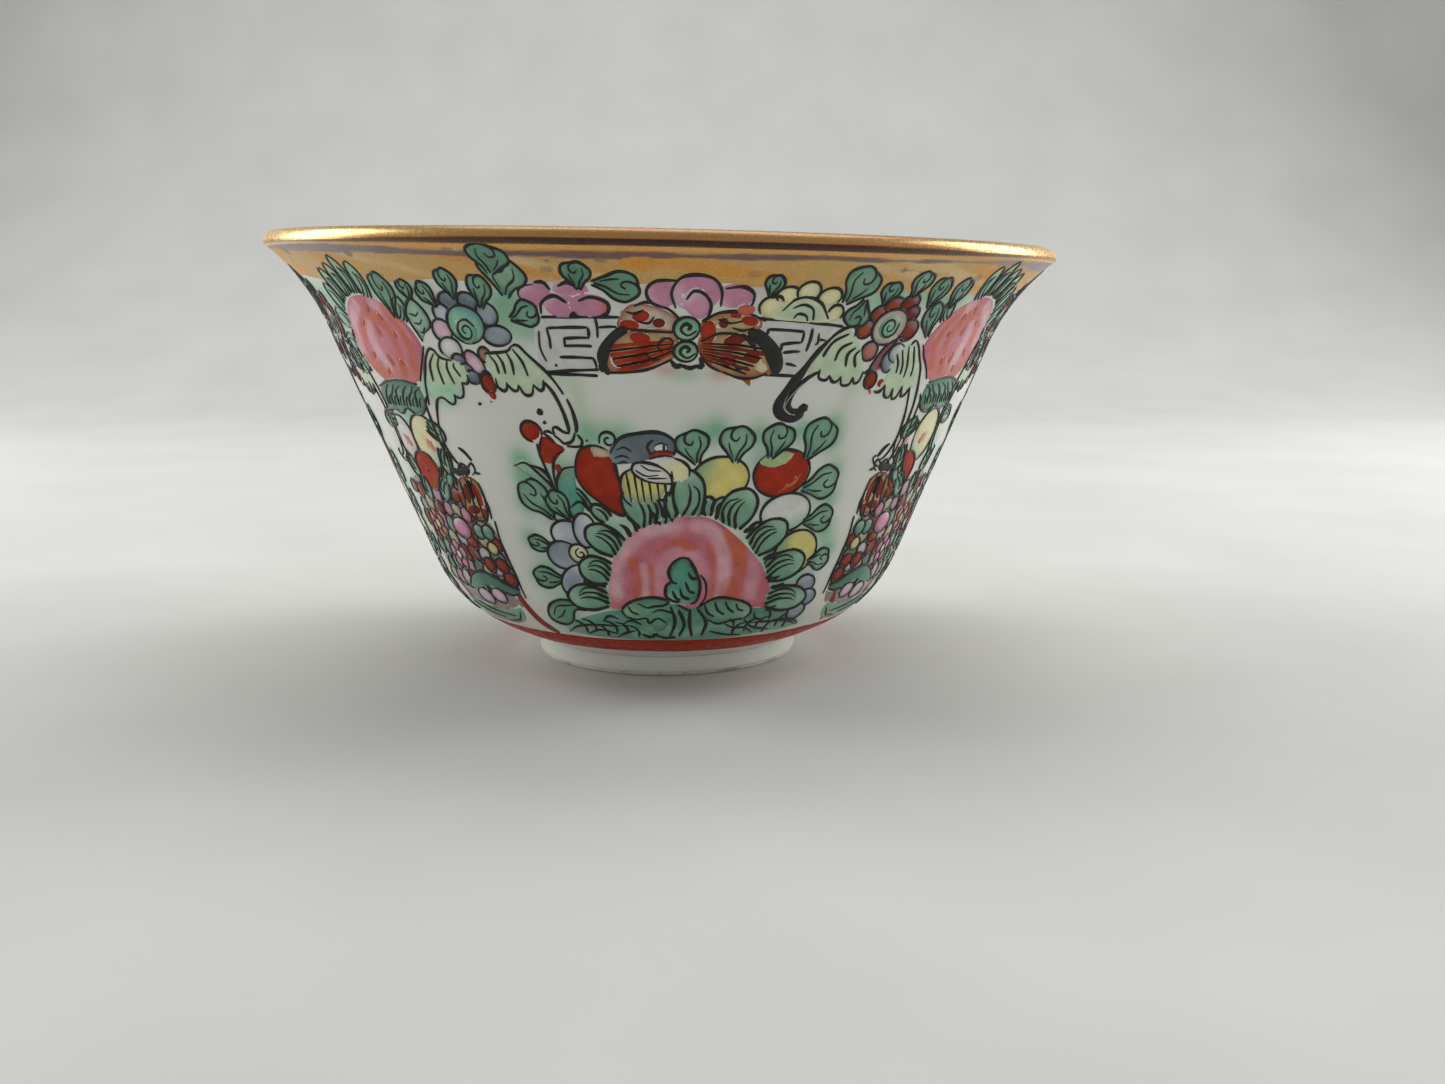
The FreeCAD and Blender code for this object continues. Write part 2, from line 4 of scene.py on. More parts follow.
import bpy
import mathutils
import numpy as np
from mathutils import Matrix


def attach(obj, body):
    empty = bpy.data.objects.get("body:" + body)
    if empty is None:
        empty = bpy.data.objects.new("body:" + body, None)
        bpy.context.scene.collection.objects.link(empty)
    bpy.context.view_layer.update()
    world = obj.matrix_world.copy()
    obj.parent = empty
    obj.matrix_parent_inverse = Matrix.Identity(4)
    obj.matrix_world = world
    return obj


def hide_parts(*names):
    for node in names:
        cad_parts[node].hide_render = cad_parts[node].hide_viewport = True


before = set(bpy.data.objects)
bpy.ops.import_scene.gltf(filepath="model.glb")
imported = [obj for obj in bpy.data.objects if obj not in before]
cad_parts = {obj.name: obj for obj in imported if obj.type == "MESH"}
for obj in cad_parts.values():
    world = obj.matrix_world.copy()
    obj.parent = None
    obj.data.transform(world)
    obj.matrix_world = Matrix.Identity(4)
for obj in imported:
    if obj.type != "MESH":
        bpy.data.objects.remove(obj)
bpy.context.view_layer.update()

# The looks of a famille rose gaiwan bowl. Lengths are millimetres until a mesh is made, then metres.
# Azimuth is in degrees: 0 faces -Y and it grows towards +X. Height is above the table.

MM = 0.001
random.seed(11)

# ---------------------------------------------------------------- the glazed line, as the CAD model has it

FOOT_RADIUS = 18.05
FOOT_HEIGHT = 2.5
JUNCTION_RADIUS = 17.75
BELLY_SLOPE = 25.4
BELLY_RUN = 6.2
BELLY_RADIUS = 17.2
WALL_SLOPE = 67.9
WALL_RUN = 24.3
FLARE_RADIUS = 77.5
LIP_FLARE_RADIUS = 25.2
MOUTH_SLOPE = 38.0
RIM_SLANT = 1.23
SLANT_CENTRE = 59.7
SEAM_SPAN = 4.2
WALL = 1.95
LIP_SWELL = 0.45
GLAZE = 0.25
FLOOR_HEIGHT = 5.2
FLOOR_FILLET = 10.0
FOOT_INNER = 15.3
WELL_RADIUS = 14.9
WELL_HEIGHT = 2.9
BARE_FOOT = 0.5


def rad(degrees):
    return degrees * math.pi / 180.0


class GlazedLine:
    """The bowl's outer line from the foot's top to the mouth, by distance along it."""

    STEP = 0.05

    def __init__(self):
        self.rows = []
        self.at = (JUNCTION_RADIUS, FOOT_HEIGHT)
        self.length = 0.0
        self.straight(BELLY_SLOPE, BELLY_RUN)
        self.bend(BELLY_SLOPE, WALL_SLOPE, BELLY_RADIUS)
        self.straight(WALL_SLOPE, WALL_RUN)
        flare_x = self.at[0] + FLARE_RADIUS * math.sin(rad(WALL_SLOPE))
        flare_y = self.at[1] - FLARE_RADIUS * math.cos(rad(WALL_SLOPE))
        self.sphere_radius = math.hypot(flare_x, SLANT_CENTRE - flare_y) - FLARE_RADIUS
        seam_slope = 90.0 - math.degrees(math.atan2(SLANT_CENTRE - flare_y, flare_x))
        self.bend(WALL_SLOPE, seam_slope, FLARE_RADIUS)
        self.seam_start = self.length
        self.bend(seam_slope, seam_slope + SEAM_SPAN, self.sphere_radius)
        self.seam_end = self.length
        self.bend(seam_slope + SEAM_SPAN, MOUTH_SLOPE, LIP_FLARE_RADIUS)
        self.s, self.r, self.z, self.slope = np.array(self.rows).T

    def put(self, slope):
        self.rows.append((self.length, self.at[0], self.at[1], slope))

    def straight(self, slope, run):
        start, count = self.at, max(2, round(run / self.STEP))
        for step in range(1, count + 1):
            way = run * step / count
            self.at = (start[0] + way * math.cos(rad(slope)), start[1] + way * math.sin(rad(slope)))
            self.length += run / count
            self.put(rad(slope))

    def bend(self, slope, last, radius):
        """An arc whose slope turns from the first value to the last, in degrees."""
        side = 1.0 if last > slope else -1.0
        centre = (self.at[0] - side * radius * math.sin(rad(slope)),
                  self.at[1] + side * radius * math.cos(rad(slope)))
        sweep = rad(abs(last - slope))
        count = max(2, round(sweep * radius / self.STEP))
        for step in range(1, count + 1):
            angle = rad(slope) + side * sweep * step / count
            self.at = (centre[0] + side * radius * math.sin(angle),
                       centre[1] - side * radius * math.cos(angle))
            self.length += sweep * radius / count
            self.put(angle)


LINE = GlazedLine()
SLANT = rad(RIM_SLANT)
SLIDE = LINE.sphere_radius * SLANT


def smooth(value):
    value = np.clip(value, 0.0, 1.0)
    return value * value * (3.0 - 2.0 * value)


def lean_share(s):
    """How much of the rim's lean applies at a distance along the line."""
    return smooth((s - LINE.seam_start) / (LINE.seam_end - LINE.seam_start))


def hand_ripple(azimuth, s):
    """The slight unevenness of a hand-turned wall, in millimetres."""
    return (0.035 * np.sin(3 * azimuth + 0.11 * s) + 0.025 * np.sin(7 * azimuth - 0.23 * s + 1.0)
            + 0.02 * np.sin(0.55 * s + 2 * azimuth))


def on_line(azimuth, s, lift):
    """Points over the glazed line. azimuth in radians, s along the line, lift off the surface."""
    r = np.interp(s, LINE.s, LINE.r)
    z = np.interp(s, LINE.s, LINE.z)
    slope = np.interp(s, LINE.s, LINE.slope)
    off = lift + hand_ripple(azimuth, s) * smooth(s / 8.0) * smooth((LINE.length - s) / 4.0)
    r, z = r + off * np.sin(slope), z - off * np.cos(slope)
    x, y = r * np.sin(azimuth), -r * np.cos(azimuth)
    turn = lean_share(s) * SLANT
    x, z = (x * np.cos(turn) + (z - SLANT_CENTRE) * np.sin(turn),
            SLANT_CENTRE - x * np.sin(turn) + (z - SLANT_CENTRE) * np.cos(turn))
    return np.stack([x, y, z], -1)


def on_wall(azimuth, height, lift):
    """Points over the glaze at an azimuth in degrees and a height."""
    azimuth = np.radians(azimuth)
    s = np.interp(height, LINE.z, LINE.s)
    s = s + lean_share(s) * SLIDE * np.sin(azimuth)
    return on_line(azimuth, np.clip(s, 0, LINE.length), lift)


def span_at(height):
    """Millimetres around the bowl for one degree, at a height."""
    return np.interp(height, LINE.z, LINE.r) * math.pi / 180.0


# ---------------------------------------------------------------- meshes


def make_piece(name, points, faces, material, tints=None, replaces=()):
    mesh = bpy.data.meshes.new(name)
    mesh.from_pydata((np.asarray(points) * MM).tolist(), [], faces)
    mesh.update()
    if tints is not None:
        layer = mesh.color_attributes.new("Tint", "FLOAT_COLOR", "POINT")
        layer.data.foreach_set("color", np.asarray(tints, np.float32).ravel())
    mesh.polygons.foreach_set("use_smooth", [True] * len(mesh.polygons))
    mesh.materials.append(material)
    piece = bpy.data.objects.new(name, mesh)
    bpy.context.scene.collection.objects.link(piece)
    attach(piece, "root")
    if replaces:
        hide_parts(*replaces)
    return piece


def ring_faces(rows, columns, closed_rows=False):
    """Quads of a grid that closes on itself around the bowl."""
    faces = []
    for row in range(rows if closed_rows else rows - 1):
        low, high = row * columns, (row + 1) % rows * columns
        for column in range(columns):
            following = (column + 1) % columns
            faces.append((low + column, low + following, high + following, high + column))
    return faces


# ---------------------------------------------------------------- materials


class Nodes:
    """A short way to write a material's node tree."""

    def __init__(self, name):
        self.material = bpy.data.materials.new(name)
        self.material.use_nodes = True
        self.tree = self.material.node_tree
        self.shader = self.tree.nodes["Principled BSDF"]

    def add(self, kind, **values):
        node = self.tree.nodes.new(kind)
        for key, value in values.items():
            if hasattr(node, key):
                setattr(node, key, value)
            else:
                node.inputs[key.replace("_", " ")].default_value = value
        return node

    def join(self, source, target):
        self.tree.links.new(source, target)

    def place(self):
        return self.add("ShaderNodeTexCoord").outputs["Object"]

    def noise(self, size_mm, detail=2.0, roughness=0.5):
        """Noise whose features are about this many millimetres wide. Gives its value socket."""
        node = self.add("ShaderNodeTexNoise")
        node.inputs["Scale"].default_value = 1.0 / (size_mm * MM)
        node.inputs["Detail"].default_value = detail
        node.inputs["Roughness"].default_value = roughness
        self.join(self.place(), node.inputs["Vector"])
        return node.outputs["Fac"]

    def ramp(self, source, stops):
        node = self.add("ShaderNodeValToRGB")
        elements = node.color_ramp.elements
        while len(elements) < len(stops):
            elements.new(0.5)
        for element, (position, value) in zip(elements, stops):
            element.position = position
            colour = (value, value, value) if isinstance(value, (int, float)) else value
            element.color = (*colour, 1.0)
        self.join(source, node.inputs["Fac"])
        return node.outputs["Color"]

    def mix(self, share, first, second, blend="MIX"):
        """Mix two colours. Each may be a colour or a socket."""
        node = self.add("ShaderNodeMix", data_type="RGBA", blend_type=blend)
        for index, value in ((0, share), (6, first), (7, second)):
            if isinstance(value, bpy.types.NodeSocket):
                self.join(value, node.inputs[index])
            elif index == 0:
                node.inputs[0].default_value = value
            else:
                node.inputs[index].default_value = (*value, 1.0)
        return node.outputs[2]

    def bump(self, source, depth_mm, strength=1.0):
        node = self.add("ShaderNodeBump")
        node.inputs["Distance"].default_value = depth_mm * MM
        node.inputs["Strength"].default_value = strength
        self.join(source, node.inputs["Height"])
        earlier = self.shader.inputs["Normal"]
        if earlier.is_linked:
            self.join(earlier.links[0].from_socket, node.inputs["Normal"])
        self.join(node.outputs["Normal"], earlier)

    def colour(self, source):
        self.join(source, self.shader.inputs["Base Color"])

    def roughness(self, source):
        self.join(source, self.shader.inputs["Roughness"])

    def set(self, **values):
        for key, value in values.items():
            self.shader.inputs[key.replace("_", " ")].default_value = value

    def tint(self):
        return self.add("ShaderNodeVertexColor", layer_name="Tint").outputs["Color"]


def glaze_material(name, painted):
    """Clear glossy glaze over white porcelain, with a faint ripple, specks and pinholes."""
    nodes = Nodes(name)
    white = nodes.mix(nodes.ramp(nodes.noise(14.0, 3.0), [(0.35, 0.0), (0.65, 1.0)]),
                      (0.765, 0.77, 0.70), (0.735, 0.738, 0.665))
    specks = nodes.ramp(nodes.noise(0.45, 4.0, 0.6), [(0.71, 0.0), (0.76, 1.0)])
    white = nodes.mix(specks, white, (0.60, 0.585, 0.53))
    if painted:
        white = nodes.mix(1.0, white, nodes.tint(), "MULTIPLY")
    nodes.colour(white)
    nodes.roughness(nodes.ramp(nodes.noise(3.0, 3.0), [(0.3, 0.10), (0.7, 0.17)]))
    nodes.bump(nodes.noise(6.0, 2.0), 0.05, 0.35)
    nodes.bump(nodes.noise(0.6, 3.0), 0.006, 0.5)
    nodes.set(IOR=1.5)
    return nodes.material


def biscuit_material():
    """The bare fired foot: matt, warm and gritty, stained where it has stood."""
    nodes = Nodes("bare_biscuit")
    grit = nodes.noise(0.35, 4.0, 0.7)
    clay = nodes.mix(nodes.ramp(grit, [(0.35, 0.0), (0.7, 1.0)]), (0.72, 0.66, 0.56), (0.80, 0.77, 0.70))
    stain = nodes.ramp(nodes.noise(2.5, 3.0), [(0.52, 0.0), (0.72, 1.0)])
    nodes.colour(nodes.mix(stain, clay, (0.45, 0.37, 0.27)))
    nodes.roughness(nodes.ramp(grit, [(0.3, 0.62), (0.7, 0.85)]))
    nodes.bump(grit, 0.03, 0.8)
    return nodes.material


def burnished_gold_material():
    """Gold on the lip: burnished and finely pitted. Where the tint is dark, as on the painted dark reflection
    line, it is made less metallic and matt.
    """
    nodes = Nodes("burnished_gold")
    tint = nodes.tint()
    hue = nodes.ramp(nodes.noise(3.5, 3.0), [(0.35, (1.0, 0.93, 0.86)), (0.65, (1.0, 1.0, 1.0))])
    gold = nodes.mix(1.0, tint, hue, "MULTIPLY")
    pits = nodes.ramp(nodes.noise(0.30, 3.0, 0.7), [(0.60, 0.0), (0.68, 1.0)])
    nodes.colour(nodes.mix(pits, gold, nodes.mix(0.7, gold, (0.20, 0.09, 0.03))))
    nodes.join(nodes.ramp(tint, [(0.10, 0.0), (0.45, 0.72)]), nodes.shader.inputs["Metallic"])
    nodes.roughness(nodes.ramp(nodes.noise(0.4, 4.0), [(0.3, 0.18), (0.7, 0.36)]))
    nodes.bump(nodes.noise(0.20, 3.0, 0.6), 0.012, 0.5)
    nodes.bump(pits, -0.02, 0.4)
    return nodes.material


def washed_gold_material():
    """Thin gold wash: half matt, finely stippled, with specks where it has pinholed."""
    nodes = Nodes("washed_gold")
    stipple = nodes.ramp(nodes.noise(0.22, 3.0, 0.7), [(0.30, 0.74), (0.62, 1.0)])
    gold = nodes.mix(1.0, nodes.tint(), stipple, "MULTIPLY")
    specks = nodes.ramp(nodes.noise(0.5, 4.0, 0.65), [(0.68, 0.0), (0.74, 1.0)])
    nodes.colour(nodes.mix(specks, gold, (0.30, 0.16, 0.06)))
    worn = nodes.noise(1.6, 4.0, 0.65)
    nodes.join(nodes.ramp(worn, [(0.42, 0.45), (0.62, 0.15)]), nodes.shader.inputs["Metallic"])
    nodes.roughness(nodes.ramp(worn, [(0.3, 0.34), (0.7, 0.5)]))
    nodes.bump(nodes.noise(0.22, 3.0, 0.7), 0.014, 0.7)
    return nodes.material


def enamel_material(name, gloss=0.2, grain=0.10, speckle_mm=0.5, relief=0.02, shine=0.5):
    """Fired enamel coloured by its brushed tint: thick and glassy, with pooling and tiny bubbles."""
    nodes = Nodes(name)
    cloud = nodes.ramp(nodes.noise(1.3, 4.0, 0.6), [(0.3, 1.0 - grain), (0.7, 1.0)])
    pigment = nodes.mix(1.0, nodes.tint(), cloud, "MULTIPLY")
    bubbles = nodes.ramp(nodes.noise(speckle_mm * 0.5, 3.0, 0.6), [(0.66, 1.0), (0.74, 1.0 - grain)])
    nodes.colour(nodes.mix(1.0, pigment, bubbles, "MULTIPLY"))
    nodes.roughness(nodes.ramp(nodes.noise(0.8, 3.0), [(0.3, gloss * 0.7), (0.7, gloss * 1.4)]))
    nodes.bump(nodes.noise(speckle_mm, 3.0), relief, 0.7)
    nodes.set(IOR=1.52, Specular_IOR_Level=shine)
    return nodes.material


MATERIALS = {
    "glaze": glaze_material("white_glaze", False),
    "painted_glaze": glaze_material("hazed_glaze", True),
    "biscuit": biscuit_material(),
    "lip": burnished_gold_material(),
    "gold": washed_gold_material(),
    "rose": enamel_material("rose_enamel", 0.30, 0.16, 0.4),
    "lilac": enamel_material("lilac_enamel", 0.22, 0.12, 0.5),
    "green": enamel_material("green_enamel", 0.16, 0.22, 0.6, 0.03, 0.4),
    "pale_green": enamel_material("pale_green_enamel", 0.22, 0.10, 0.5),
    "yellow": enamel_material("yellow_enamel", 0.22, 0.10, 0.5),
    "blue": enamel_material("blue_enamel", 0.20, 0.16, 0.5),
    "red": enamel_material("iron_red_enamel", 0.40, 0.24, 0.35, 0.015, 0.12),
    "black": enamel_material("black_drawing", 0.28, 0.35, 0.3, 0.015, 0.35),
    "white": enamel_material("white_enamel", 0.24, 0.10, 0.5),
}

# ---------------------------------------------------------------- body, glazes and gold

AROUND = 640
TURN = np.arange(AROUND) * 2 * math.pi / AROUND


def ring_stack(rows):
    """Points of rings given as functions of the azimuths."""
    return np.concatenate([row(TURN) for row in rows])


def level_ring(radius, height):
    return lambda turn: np.stack([radius * np.sin(turn), -radius * np.cos(turn), np.full_like(turn, height)],
                                 -1)


def line_ring(s, lift=0.0):
    return lambda turn: on_line(turn, np.full_like(turn, s), np.full_like(turn, lift))


def line_rows(start, end, step, lift=0.0):
    return [line_ring(s, lift) for s in np.linspace(start, end, max(2, int((end - start) / step)))]


def leaning_ring(r, z):
    """A ring of the leaning mouth, from its radius and its height before it leans."""
    def ring(turn):
        x, y = r * np.sin(turn), -r * np.cos(turn)
        return np.stack([x * math.cos(SLANT) + (z - SLANT_CENTRE) * math.sin(SLANT), y,
                         SLANT_CENTRE - x * math.sin(SLANT) + (z - SLANT_CENTRE) * math.cos(SLANT)], -1)
    return ring


LIP_ARC = ((WALL / 2) ** 2 + LIP_SWELL ** 2) / (2 * LIP_SWELL)
LIP_SPREAD = math.degrees(math.asin(WALL / 2 / LIP_ARC))


def lip_point(share, lift=0.0):
    """A point of the shallow arc over the lip. share runs from 0 outside to 1 inside."""
    slope, way = rad(MOUTH_SLOPE), rad(MOUTH_SLOPE + LIP_SPREAD * (2 * share - 1))
    back = LIP_ARC - LIP_SWELL
    r = LINE.r[-1] - WALL / 2 * math.sin(slope) - back * math.cos(slope) + (LIP_ARC + lift) * math.cos(way)
    z = LINE.z[-1] + WALL / 2 * math.cos(slope) - back * math.sin(slope) + (LIP_ARC + lift) * math.sin(way)
    return r, z


def lip_corner(share, start, end, radius):
    """Points round one edge of the lip, as its direction turns from start to end in degrees."""
    r, z = lip_point(share)
    ways = np.linspace(rad(start), rad(end), 5)
    return [(r + radius * math.cos(way), z + radius * math.sin(way)) for way in ways]


def outer_glaze_rows():
    slide = (FOOT_RADIUS - JUNCTION_RADIUS) * BARE_FOOT / FOOT_HEIGHT
    rows = [level_ring(FOOT_RADIUS - slide - GLAZE, BARE_FOOT - 0.02),
            level_ring(FOOT_RADIUS - slide - 0.06, BARE_FOOT),
            level_ring(FOOT_RADIUS - slide, BARE_FOOT + 0.2)]
    for height in (1.2, 1.9, 2.4, 2.62):
        rows.append(level_ring(FOOT_RADIUS - (FOOT_RADIUS - JUNCTION_RADIUS) * height / FOOT_HEIGHT, height))
    return rows + line_rows(0.12, LINE.length, 0.5)


# The green and rose of the enamels bled softly into the glaze round the leaves.
HAZES = []


def haze_tint(azimuths, heights):
    """The colour that the glaze takes from the enamels' haze, as a factor for each point."""
    tint = np.ones((len(azimuths), 4))
    for azimuth, height, width, rise, colour, strength in HAZES:
        turn = (azimuths - azimuth + 180.0) % 360.0 - 180.0
        away = (turn * span_at(height) / width) ** 2 + ((heights - height) / rise) ** 2
        near = away < 6.0
        share = strength * np.exp(-away[near])[:, None]
        tint[near, :3] *= 1.0 - share * (1.0 - np.array(colour))
    return tint


def build_outer_glaze():
    rows = outer_glaze_rows()
    points = ring_stack(rows)
    azimuths = np.degrees(np.arctan2(points[:, 0], -points[:, 1]))
    tint = haze_tint(azimuths, points[:, 2])
    make_piece("outer_glaze_skin", points, ring_faces(len(rows), AROUND), MATERIALS["painted_glaze"], tint,
               ["outer_glaze"])


# How far the hidden wall stays under the faces of its two glazes.
WALL_COVER = GLAZE * 1.6


def build_body():
    """The biscuit: only its foot ring shows, bare and slightly chamfered."""
    rows = [level_ring(WELL_RADIUS - 0.1, WELL_HEIGHT - 0.3), level_ring(FOOT_INNER - 0.05, 0.9),
            level_ring(FOOT_INNER, 0.35), level_ring(FOOT_INNER + 0.1, 0.1),
            level_ring(FOOT_INNER + 0.35, 0.0), level_ring(16.6, 0.0), level_ring(FOOT_RADIUS - 0.6, 0.0),
            level_ring(FOOT_RADIUS - 0.32, 0.1), level_ring(FOOT_RADIUS - 0.22, 0.35),
            level_ring(FOOT_RADIUS - 0.3, 0.9), level_ring(JUNCTION_RADIUS - 0.2, 2.4)]
    make_piece("bare_foot_ring", ring_stack(rows), ring_faces(len(rows), AROUND), MATERIALS["biscuit"],
               None)
    inside = line_rows(0.6, LINE.length - 0.3, 1.2, -WALL_COVER)
    inside += [leaning_ring(*lip_point(share, -WALL_COVER)) for share in np.linspace(0.12, 0.88, 7)]
    inside += line_rows(0.6, LINE.length - 0.3, 1.2, -(WALL - WALL_COVER))[::-1]
    make_piece("porcelain_wall", ring_stack(inside), ring_faces(len(inside), AROUND, True),
               MATERIALS["biscuit"], None, ["porcelain_body"])


def build_inner_glaze():
    floor = []
    slope = rad(BELLY_SLOPE)
    fillet_x = (JUNCTION_RADIUS - WALL * math.sin(slope)
                + (FLOOR_HEIGHT - FOOT_HEIGHT - WALL * math.cos(slope)) / math.tan(slope)
                - FLOOR_FILLET * math.tan(rad(BELLY_SLOPE / 2)))
    for radius in np.linspace(0.02, fillet_x, 22):
        floor.append(level_ring(radius, FLOOR_HEIGHT))
    for angle in np.linspace(2.0, BELLY_SLOPE, 10):
        floor.append(level_ring(fillet_x + FLOOR_FILLET * math.sin(rad(angle)),
                                FLOOR_HEIGHT + FLOOR_FILLET * (1 - math.cos(rad(angle)))))
    start = (fillet_x + FLOOR_FILLET * math.sin(rad(BELLY_SLOPE)) - JUNCTION_RADIUS
             + WALL * math.sin(rad(BELLY_SLOPE))) / math.cos(rad(BELLY_SLOPE))
    rows = floor + line_rows(start + 0.3, LINE.length, 0.6, -WALL)
    rows += [leaning_ring(*lip_point(share)) for share in np.linspace(0.97, 0.03, 12)]
    make_piece("inner_glaze_skin", ring_stack(rows[::-1]), ring_faces(len(rows), AROUND),
               MATERIALS["glaze"], None, ["inner_glaze"])


def build_well_glaze():
    rows = [level_ring(radius, WELL_HEIGHT - GLAZE - 0.12 * (1 - radius / WELL_RADIUS))
            for radius in np.linspace(0.02, WELL_RADIUS - 1.0, 16)]
    rows += [level_ring(WELL_RADIUS - 0.55, WELL_HEIGHT - GLAZE - 0.06),
             level_ring(WELL_RADIUS - 0.32, WELL_HEIGHT - 0.45),
             level_ring(WELL_RADIUS - 0.24, WELL_HEIGHT - 0.9),
             level_ring(FOOT_INNER - 0.33, BARE_FOOT + 0.3), level_ring(FOOT_INNER - 0.12, BARE_FOOT)]
    make_piece("foot_well_glaze_skin", ring_stack(rows), ring_faces(len(rows), AROUND), MATERIALS["glaze"],
               None, ["foot_well_glaze"])


def soft_noise(azimuth, s, seed):
    """A smooth random field around the bowl, from about -1 to 1, made of a few waves."""
    source = random.Random(seed)
    total = np.zeros_like(azimuth)
    for wave in range(1, 9):
        around = source.randint(2, 7) * wave
        lean = source.uniform(0.1, 0.5) * wave
        total += np.sin(around * azimuth + lean * s + source.uniform(0, 7)) / wave ** 0.7
    return total / 2.6


def blend(first, second, share):
    return first * (1 - share[:, None]) + np.array(second) * share[:, None]


# The lip's gold: darker in front and bright at the sides, both painted reflections; a near black painted dark
# reflection line; a pinkish grey for the crest.
FRONT_GOLD_PAINTED_DARK_REFLECTION = (0.46, 0.26, 0.085)
SIDE_GOLD_PAINTED_HIGHLIGHT = (0.96, 0.68, 0.26)
PAINTED_DARK_REFLECTION_LINE = (0.045, 0.015, 0.007)
CREST = (0.62, 0.40, 0.30)


def lip_tint(turn, way):
    """Gold, bright at the sides and darker in front and at the back, both painted reflections, with a painted
    dark reflection line along the outer edge, broad in front and at the back, and a pinkish grey band along
    the crest. way is in mm.
    """
    # broad is 1 in front and at the back: there the gold is painted darker and the painted dark reflection
    # line is wide.
    broad = 0.5 + 0.5 * np.cos(2 * turn - 0.12)
    colour = blend(np.tile(np.array(SIDE_GOLD_PAINTED_HIGHLIGHT), (len(turn), 1)), FRONT_GOLD_PAINTED_DARK_REFLECTION, smooth(broad * 1.5 - 0.3))
    half = 0.09 + 0.36 * smooth(broad * 1.3 - 0.2) + 0.05 * soft_noise(turn, 0 * turn, 15)
    middle = 0.08 + 0.05 * soft_noise(turn, 0 * turn, 16)
    # An orange fringe along both edges of the painted dark reflection line.
    rim = smooth(1.5 - np.abs(np.abs(way - middle) - half - 0.08) / 0.10)
    colour = blend(colour, (0.62, 0.24, 0.05), 0.8 * rim)
    # The painted dark reflection line, strongest where broad is high.
    colour = blend(colour, PAINTED_DARK_REFLECTION_LINE, smooth((half - np.abs(way - middle)) / 0.10) * (0.62 + 0.38 * broad))
    return blend(colour, CREST, 0.75 * smooth((way - 1.85 + 0.1 * soft_noise(turn, 0 * turn, 17)) / 0.12))


def build_lip():
    """The gold lip: a face that swells a little between a crisp outer edge and a soft inner one."""
    coat = 0.09
    under = [line_ring(LINE.length - way, lift) for way, lift in ((0.42, 0.02), (0.36, 0.06), (0.2, coat),
                                                                  (0.1, coat))]
    outer = lip_corner(0.0, MOUTH_SLOPE - 90, MOUTH_SLOPE - LIP_SPREAD, coat)
    face = [lip_point(share, coat) for share in np.linspace(0.0, 1.0, 23)[1:-1]]
    inner = lip_corner(1.0, MOUTH_SLOPE + LIP_SPREAD, MOUTH_SLOPE + 90, coat)
    inside = [line_ring(LINE.length - way, -WALL - lift) for way, lift in ((0.15, coat), (0.35, 0.06),
                                                                           (0.45, 0.02))]
    rows = under + [leaning_ring(*place) for place in outer + face + inner] + inside
    points = np.stack([row(np.zeros(1))[0] for row in rows])
    ways = np.concatenate([[0.0], np.cumsum(np.linalg.norm(np.diff(points, axis=0), axis=1))]) - 0.5
    turn = np.arange(AROUND * 2) * math.pi / AROUND
    tints = [lip_tint(turn, way) for way in ways]
    tints = np.concatenate([np.concatenate([tint, np.ones((len(turn), 1))], 1) for tint in tints])
    make_piece("gilt_lip", np.concatenate([row(turn) for row in rows]), ring_faces(len(rows), len(turn)),
               MATERIALS["lip"], tints, ["lip_gilding"])


GOLD_BAND_LOW = 50.1
# The bowl's radius near its gold, which turns an azimuth into millimetres.
GOLD_RADIUS = 50.0
GOLD_BLOTS = 26
BLOT_STRETCH = 1.6
OCHRE = (0.72, 0.44, 0.15)
DEEP_OCHRE = (0.80, 0.36, 0.065)
PALE_OCHRE = (0.84, 0.62, 0.32)
BLOT = (0.26, 0.20, 0.12)
# Lustre: dark at the front; lilac grey at the sides and back, where the lighter tone is a painted reflection.
LUSTRE = (0.24, 0.135, 0.13)
SIDE_LUSTRE_PAINTED_REFLECTION = (0.40, 0.33, 0.34)
LIP_OCHRE = (0.92, 0.50, 0.13)


